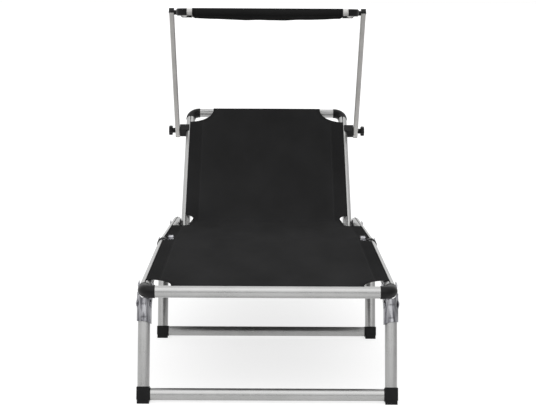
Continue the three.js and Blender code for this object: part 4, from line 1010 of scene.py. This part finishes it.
def free_edge(side, along, held):
    """Points every few millimetres along the parts of the outline that no groove holds."""
    points = []
    for i in range(len(side) - 1):
        if held[i] and held[i + 1]:
            continue
        a, b = np.array([side[i], along[i]]), np.array([side[i + 1], along[i + 1]])
        count = int(np.linalg.norm(b - a) / FREE_EDGE_STEP) + 1
        points += [a + (b - a) * k / count for k in range(count + 1)]
    return np.array(points)


def mark_edges(mesh, plane, outline, seam_at):
    mirrored = np.column_stack([np.abs(plane[:, 0]), plane[:, 1]])
    edge = np.min(np.linalg.norm(mirrored[:, None] - outline[None], axis=2), axis=1)
    for key, values in (("edge", edge), ("seam", mirrored[:, 0] - seam_at * MM)):
        mesh.attributes.new(key, "FLOAT", "POINT").data.foreach_set("value", values)


print("faces of a sheet of 3 by 3 points:", len(shell_faces(3, 3)))

# %% [markdown]
# ## From rows to a fabric
# The grid of rows becomes one mesh. The flat cloth is the same grid unrolled, so its width and
# length are the size to cut, and its cells add up to the area. These numbers are printed and
# returned: a real sheet can't be larger or smaller than the cloth that it is made from. Low waves
# across the sheet stand for the slight unevenness of stretched cloth.
# %% Fabric
CLOTH_SHARP = 60.0


def waves(x, v, long, wide, height, turn):
    return height * np.sin(2 * math.pi * (v / long + x / wide) + turn)


def fabric(name, rows, finish, thickness, seam_at, ripple, steps=20, edge_lift=1.0):
    """Builds the sheet and returns it with its flat size and area."""
    grid, flat = sheet_grid(rows, steps, edge_lift, ripple)
    normal = np.cross(np.gradient(grid, axis=1), np.gradient(grid, axis=0))
    shift = normal / np.linalg.norm(normal, axis=2, keepdims=True) * thickness * MM / 2
    verts = np.vstack([(grid + shift).reshape(-1, 3), (grid - shift).reshape(-1, 3)])
    faces = shell_faces(*grid.shape[:2])
    mesh = bpy.data.meshes.new(name)
    mesh.from_pydata(verts, [], faces)
    plane = np.vstack([flat.reshape(-1, 2)] * 2) * MM
    uvs = plane[np.concatenate(faces)].ravel()
    mesh.uv_layers.new(name="UVMap").data.foreach_set("uv", uvs)
    held = [spot[3] for spot in rows]
    mark_edges(mesh, plane, free_edge(flat[:, -1, 0], flat[:, 0, 1], held) * MM, seam_at)
    piece = dressed(name, mesh, finish, CLOTH_SHARP)
    u, v = flat[..., 0] * MM, flat[..., 1] * MM
    cells = (u[:-1, 1:] - u[:-1, :-1] + u[1:, 1:] - u[1:, :-1]) / 2 * np.diff(v[:, :1], axis=0)
    size, area = (float(u.max() - u.min()), float(v.max())), float(cells.sum())
    print(name, "flat size", [round(s, 3) for s in size], "area", round(area, 4))
    return piece, size, area


def stretched(nodes):
    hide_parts(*nodes)


# %% [markdown]
# ## Cut of the seat fabric
# At the front corners the cloth is cut in a hollow curve, and it dips into the groove of the
# crossbar. Beside the fold fittings it is notched. A boolean would leave a ragged grid, so the rows
# themselves follow the cut: each one is as wide as the cloth is there, and they lie closer where
# the edge turns.
# %% Rows of the seat fabric
CLOTH_Z, CLOTH_THICK = 14.6, 1.2
SEAT_HALF, SEAT_CUT_X, SEAT_CUT_Y, FRONT_Y = 276.5, 62.0, 78.0, -1.2
FRONT_TUCK = ((0, 8.6), (0, 12.0), (0.3, 13.6), (1.2, 14.45), (3.0, CLOTH_Z))
NOTCH_HALF, NOTCH_Y, NOTCH_STEP, CORNER_OUT, CORNER_IN = 247.5, 40.0, 0.3, 10.0, 14.0
SEAT_SAG, SAG_RISE = 2.5, 200
HELD_START, HELD_INNER = (0, 3, 7, 13), 20


def front_sag(y):
    return SEAT_SAG * min(1, y / SAG_RISE)


def seat_front():
    rows = []
    for y, z in FRONT_TUCK:
        half = SEAT_HALF - SEAT_CUT_X * math.sqrt(1 - ((y - FRONT_Y) / SEAT_CUT_Y) ** 2)
        rows.append(row(FOOT, y, z, half))
    for angle in angles(6, 90, 18):
        y = FRONT_Y + SEAT_CUT_Y * math.sin(angle)
        half = SEAT_HALF - SEAT_CUT_X * math.cos(angle)
        rows.append(row(FOOT, y, CLOTH_Z, half, False, front_sag(y)))
    return rows


def held_rows(body, start, end, pitch, half, sag):
    """Rows between two tubes, closer at both ends."""
    count = max(2, round((end - start - 2 * HELD_INNER) / pitch))
    inner = np.linspace(start + HELD_INNER, end - HELD_INNER, count)
    places = [start + s for s in HELD_START] + [*inner] + [end - s for s in HELD_START[::-1]]
    return [row(body, y, CLOTH_Z, half, True, sag(y)) for y in places]


def notch_rows(body, edge_y, turn):
    """From the rail's groove into a notch beside a fold fitting, or out of it where turn is -1."""
    x = RAIL_X - CORNER_OUT
    spots = [(x + CORNER_OUT * math.cos(a), edge_y - turn * CORNER_OUT * (1 - math.sin(a)))
             for a in angles(0, 90, 7)]
    x, y = NOTCH_HALF + CORNER_IN, edge_y + turn * (CORNER_IN + NOTCH_STEP)
    spots += [(x - CORNER_IN * math.sin(a), y - turn * CORNER_IN * math.cos(a))
              for a in angles(0, 90, 8)]
    return [row(body, y, CLOTH_Z, x, False, SEAT_SAG) for x, y in spots[::turn]]


print("rows of the front cut:", len(seat_front()))

# %% [markdown]
# ## Seat fabric
# The seat is one length of cloth from the front crossbar to the backrest. At the back its edges
# leave the rails, so that the backrest can turn. The CAD splits it at the fold, because a solid
# can't bend. Here one sheet runs over the fold, and its rows lie in the foot section before it and
# in the middle section after it.
# %% Seat fabric
FOOT_FOLD_ROWS, MID_FOLD_ROWS = (714, 719, 724, 729, 733), (0, 4, 8, 13, 19)
SIDE_END, SIDE_CORNER, BACK_HALF, FREE_START, SEAT_END = 400.0, 16.0, 225.0, 436, 577.0
ROW_PITCH, ROW_GAP, SEAT_CREASE, SEAT_SEAM = 22, 0.4, 25.0, 242.0
END_GAP = 0.1

seat = seat_front()
seat += held_rows(FOOT, FRONT_Y + SEAT_CUT_Y + ROW_GAP, FOLD_Y - NOTCH_Y - CORNER_OUT - END_GAP,
                  ROW_PITCH, RAIL_X, front_sag)
seat += notch_rows(FOOT, FOLD_Y - NOTCH_Y, 1)
for body, places in ((FOOT, FOOT_FOLD_ROWS), (MID, MID_FOLD_ROWS)):
    seat += [row(body, y, CLOTH_Z, NOTCH_HALF, False, SEAT_SAG) for y in places]
seat += notch_rows(MID, NOTCH_Y, -1)
seat += held_rows(MID, NOTCH_Y + CORNER_OUT + END_GAP, SIDE_END - END_GAP, ROW_PITCH, RAIL_X,
                  lambda y: SEAT_SAG)
for a in angles(0, 90, 10):
    half = BACK_HALF + SIDE_CORNER * (1 - math.sin(a))
    y = SIDE_END + SIDE_CORNER * (1 - math.cos(a))
    seat.append(row(MID, y, CLOTH_Z, half, False, SEAT_SAG))
for y in np.linspace(FREE_START, SEAT_END, 8):
    seat.append(row(MID, y, CLOTH_Z, BACK_HALF, False, SEAT_SAG))
seat_cloth = fabric(
    "seat_fabric", seat, "sling_fabric", CLOTH_THICK, SEAT_SEAM,
    lambda x, v: waves(x, v, 310, 900, 0.35, 0.4) + waves(x, v, 97, -520, 0.12, 2.0))
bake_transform(seat_cloth[0])
stretched(["foot_sling", "mid_sling"])

# %% [markdown]
# ## Cut of the backrest fabric
# The backrest's cloth starts where the seat's ends. It passes the hinge in a curved crease, widens
# in a small notch to the side tubes, and is cut out at the top corners, which shows the ends of the
# bar. The crease could be a sharp bend, but cloth bends softly, so its rows lie on a curve between
# both sections.
# %% Rows of the backrest fabric
CREASE_END, BACK_EDGE, BACK_NOTCH_X, BACK_NOTCH_Y = 12.0, 245.2, 24.0, 15.0
TOP_CUT_X, TOP_CUT_Y, BACK_SAG, BACK_SAG_RISE = 74.0, 58.0, 3.0, 120
TOP_TUCK = ((14.3, 0.9), (13.6, 0.25), (12.3, 0.0), (8.6, 0.0))


def back_sag(y):
    return BACK_SAG * min(1.0, max(0.0, (BACK_REACH - y) / BACK_SAG_RISE))


def crease_rows(steps=8):
    turn = math.radians(BACK_ANGLE + MID_SLOPE)
    corner = BACK_PIVOT - CLOTH_Z * math.tan(turn / 2)
    start, middle = (at[MID] @ Vector((0, y, CLOTH_Z)) for y in (SEAT_END, corner))
    end = at[BACK] @ Vector((0, CREASE_END, CLOTH_Z))
    rows = []
    for t in np.linspace(0, 1, steps + 1):
        place = start * (1 - t) ** 2 + middle * 2 * t * (1 - t) + end * t * t
        half = BACK_HALF + (BACK_EDGE - BACK_NOTCH_X - BACK_HALF) * t
        rows.append((place.y, place.z, half, False, SEAT_SAG + (BACK_SAG - SEAT_SAG) * t))
    return rows


def corner_row(y, cut_x, angle, sag):
    return row(BACK, y, CLOTH_Z, BACK_EDGE - cut_x * math.cos(angle), False, sag)


print("rows of the crease:", len(crease_rows()))

# %% [markdown]
# ## Backrest fabric
# The cloth runs up between the side tubes, and at the top it passes over the crossbar into the
# groove on its outer side. Its rows lie in the backrest's frame, and its lower end blends into the
# middle section, where the seat's cloth ends.
# %% Backrest fabric
BACK_PITCH, BACK_SEAM = 20, 204.0
back = crease_rows()
for angle in angles(8, 90, 9):
    y = CREASE_END + BACK_NOTCH_Y * math.sin(angle)
    back.append(corner_row(y, BACK_NOTCH_X, angle, BACK_SAG))
back += held_rows(BACK, CREASE_END + BACK_NOTCH_Y + ROW_GAP, BACK_REACH - TOP_CUT_Y - ROW_GAP,
                  BACK_PITCH, BACK_X, back_sag)
for angle in angles(90, 0, 18):
    y = BACK_REACH - TOP_CUT_Y * math.sin(angle)
    back.append(corner_row(y, TOP_CUT_X, angle, back_sag(y)))
wrap = [(CLOTH_Z * math.cos(a), CLOTH_Z * math.sin(a)) for a in angles(78, 6, 8)]
back += [row(BACK, BACK_REACH + y, z, BACK_EDGE - TOP_CUT_X) for y, z in [*wrap, *TOP_TUCK]]
back_cloth = fabric("backrest_fabric", back, "sling_fabric", CLOTH_THICK, BACK_SEAM,
                    lambda x, v: waves(x, v, 260, 760, 0.3, 1.1))
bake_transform(back_cloth[0])
stretched(["backrest_sling"])

# %% [markdown]
# ## Canopy cloth
# The canopy is one sheet of thinner cloth between its two bars. It leaves the groove on top of the
# near bar, passes round the front of that bar, hangs in a shallow sag, and rises round the far bar
# into its groove. Its sides are hemmed and free, so the ends of the bars show beside it. A few low
# waves, which fade out at the bars, keep it from looking like a board.
# %% Canopy cloth
CANOPY_THICK, WRAP_R, CANOPY_HALF, CANOPY_SEAM = 0.8, 11.0, 219.5, 207.0
CANOPY_SAG, CANOPY_EDGE_LIFT, CANOPY_STEPS, RIPPLE_LONG, BAR_CLEAR = 9.0, 0.65, 24, 430, 5
GROOVE_ROWS = (5.5, 9.0, 10.4)
middle, span = (CANOPY_FAR - CANOPY_NEAR) / 2, (CANOPY_FAR + CANOPY_NEAR) / 2


def canopy_row(y, z, sag=0.0):
    return row(CANOPY, y, z, CANOPY_HALF, False, sag)


def round_bar(centre, start, end, steps=20):
    return [canopy_row(centre + WRAP_R * math.cos(a), WRAP_R * math.sin(a))
            for a in angles(start, end, steps)]


def canopy_ripple(x, v):
    both = waves(x, v, 900, 118, 0.7, 0.8) + waves(x, v, -420, 61, 0.25, 2.2)
    return both * math.sin(math.pi * min(1, v / RIPPLE_LONG)) ** 2


canopy = [canopy_row(-CANOPY_NEAR, z) for z in GROOVE_ROWS]
canopy += round_bar(-CANOPY_NEAR, 96, 268)
for y in np.linspace(-CANOPY_NEAR + BAR_CLEAR, CANOPY_FAR - BAR_CLEAR, 36):
    canopy.append(canopy_row(y, -WRAP_R, CANOPY_SAG * (1 - ((y - middle) / span) ** 2)))
canopy += round_bar(CANOPY_FAR, -88, 84)
canopy += [canopy_row(CANOPY_FAR, z) for z in GROOVE_ROWS[::-1]]
canopy_cloth = fabric("canopy_fabric", canopy, "canopy_fabric", CANOPY_THICK, CANOPY_SEAM,
                      canopy_ripple, CANOPY_STEPS, CANOPY_EDGE_LIFT)
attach(canopy_cloth[0], CANOPY)
stretched(["canopy_cloth"])

# %% [markdown]
# ## Floor
# The photograph shows the lounger on plain white. A white sheet that curves up behind the object is
# the studio's way. Here a very wide pale floor is enough, which also takes the soft shadow. It
# glows a little, more along the middle, because the tubes would mirror a dark floor otherwise.
# %% Floor
FLOOR_RADIUS = 3000.0


def floor_paint():
    finish, place = new_finish("floor_paint", IOR=1.4, Specular_IOR_Level=0.1,
                               Emission_Color=(1, 1, 1, 1))
    x = finish.add("SeparateXYZ", {0: place}, "X")
    glow = finish.math("MINIMUM", finish.between(x, 0.26, 0.44, -1.2, -0.5),
                       finish.between(x, 0.44, 0.08, 0.5, 1.2))
    seen = finish.math("MULTIPLY", finish.add("LightPath"), 0.74)
    clouds = finish.noise(place, scale=0.7, detail=2.0)
    finish.set(Emission_Strength=finish.math("MAXIMUM", glow, seen),
               Base_Color=finish.tint(clouds, (0.43, 0.43, 0.43), (0.46, 0.46, 0.46)),
               Roughness=finish.between(clouds, 0.8, 0.9))
    return finish.holder


floor_mesh = bpy.data.meshes.new("studio_floor")
rim = circle(FLOOR_RADIUS, 128)
floor_mesh.from_pydata([(x, y, 0.0) for x, y in rim], [], [list(range(len(rim)))])
floor_mesh.materials.append(floor_paint())
into_scene("studio_floor", floor_mesh)
print("floor radius", FLOOR_RADIUS, "m")

# %% [markdown]
# ## Broad suns
# The light comes from the front left and, weaker, from the right, without hard shadows. Area
# lamps would light the head end less than the foot end. A sun is even all along the lounger, and
# a wide angle makes it as soft as a large panel.
# %% Broad suns
def sun(name, azimuth, height, strength, spread):
    light = bpy.data.lights.new(name, "SUN")
    light.energy, light.angle = strength, math.radians(spread)
    a, h = math.radians(azimuth), math.radians(height)
    toward = Vector((math.cos(h) * math.sin(a), math.cos(h) * math.cos(a), math.sin(h)))
    into_scene(name, light).rotation_euler = toward.to_track_quat("Z", "Y").to_euler()
    print(name, "from", azimuth, "degrees, strength", strength)


sun("key", -150, 55, 0.32, 60)
sun("fill", 120, 50, 0.16, 80)

# %% [markdown]
# ## Sky
# Most of the light is a bright even sky. Metal in an even room looks flat, so the sky is darker low
# behind the viewer and to both sides, which draws the dark bands along the tubes. A picture of a
# studio would do that too, but smooth steps over the direction are plain and need no file. Straight
# to the camera the sky is white.
# %% Sky
sky = bpy.data.worlds.new("studio_sky")
bpy.context.scene.world = sky
world = Finish(sky, "Background", Strength=1.0)
way = world.add("TexCoord", out="Generated")
sky_x, sky_y, sky_z = (world.add("SeparateXYZ", {0: way}, out) for out in "XYZ")


def sky_step(source, start, end, low, high):
    return world.between(source, low, high, start, end, interpolation_type="SMOOTHSTEP")


low_band = sky_step(sky_z, 0.10, 0.22, 0.10, 0.95)
viewer = sky_step(sky_y, -0.85, -0.45, low_band, 0.95)
behind = sky_step(sky_y, 0.99, 0.90, 0.82, 1.0)
right = sky_step(sky_x, 0.45, 0.85, 1.0, 0.45)
left = sky_step(sky_x, -0.85, -0.45, 0.75, 1.0)
room = world.math("MULTIPLY", world.math("MULTIPLY", viewer, behind),
                  world.math("MULTIPLY", left, right))
world.set(Color=world.add("Mix", {0: world.add("LightPath"), 2: room, 3: 1.0}))
print("sky with", len(sky.node_tree.nodes), "nodes")

# %% [markdown]
# ## Camera
# The camera stands at the photograph's viewing angle. Its place could be found by eye, but lines
# that are parallel on the lounger meet in the picture, and from them the lens, the height and the
# tilt were worked out. A small turn and roll bring the tubes onto the photograph's.
# %% Camera
LENS, SENSOR = 110.6, 36.0
EYE_X, EYE_BACK, EYE_HIGH = -0.0135, 3.609, 0.884
EYE_TURN, EYE_DOWN, EYE_ROLL = -0.2257, 7.02, 0.3

camera = into_scene("camera", bpy.data.cameras.new("camera"))
camera.data.sensor_width, camera.data.lens = SENSOR, LENS
eye = Vector((EYE_X, at[FOOT].translation.y - EYE_BACK, EYE_HIGH))
look = (Matrix.Rotation(math.radians(EYE_TURN), 4, "Z")
        @ Matrix.Rotation(math.radians(QUARTER - EYE_DOWN), 4, "X")
        @ Matrix.Rotation(math.radians(EYE_ROLL), 4, "Z"))
camera.matrix_world = Matrix.Translation(eye) @ look
bpy.context.scene.camera = camera
bpy.context.scene.view_settings.view_transform = "Standard"
print("camera at", [round(v, 3) for v in eye])
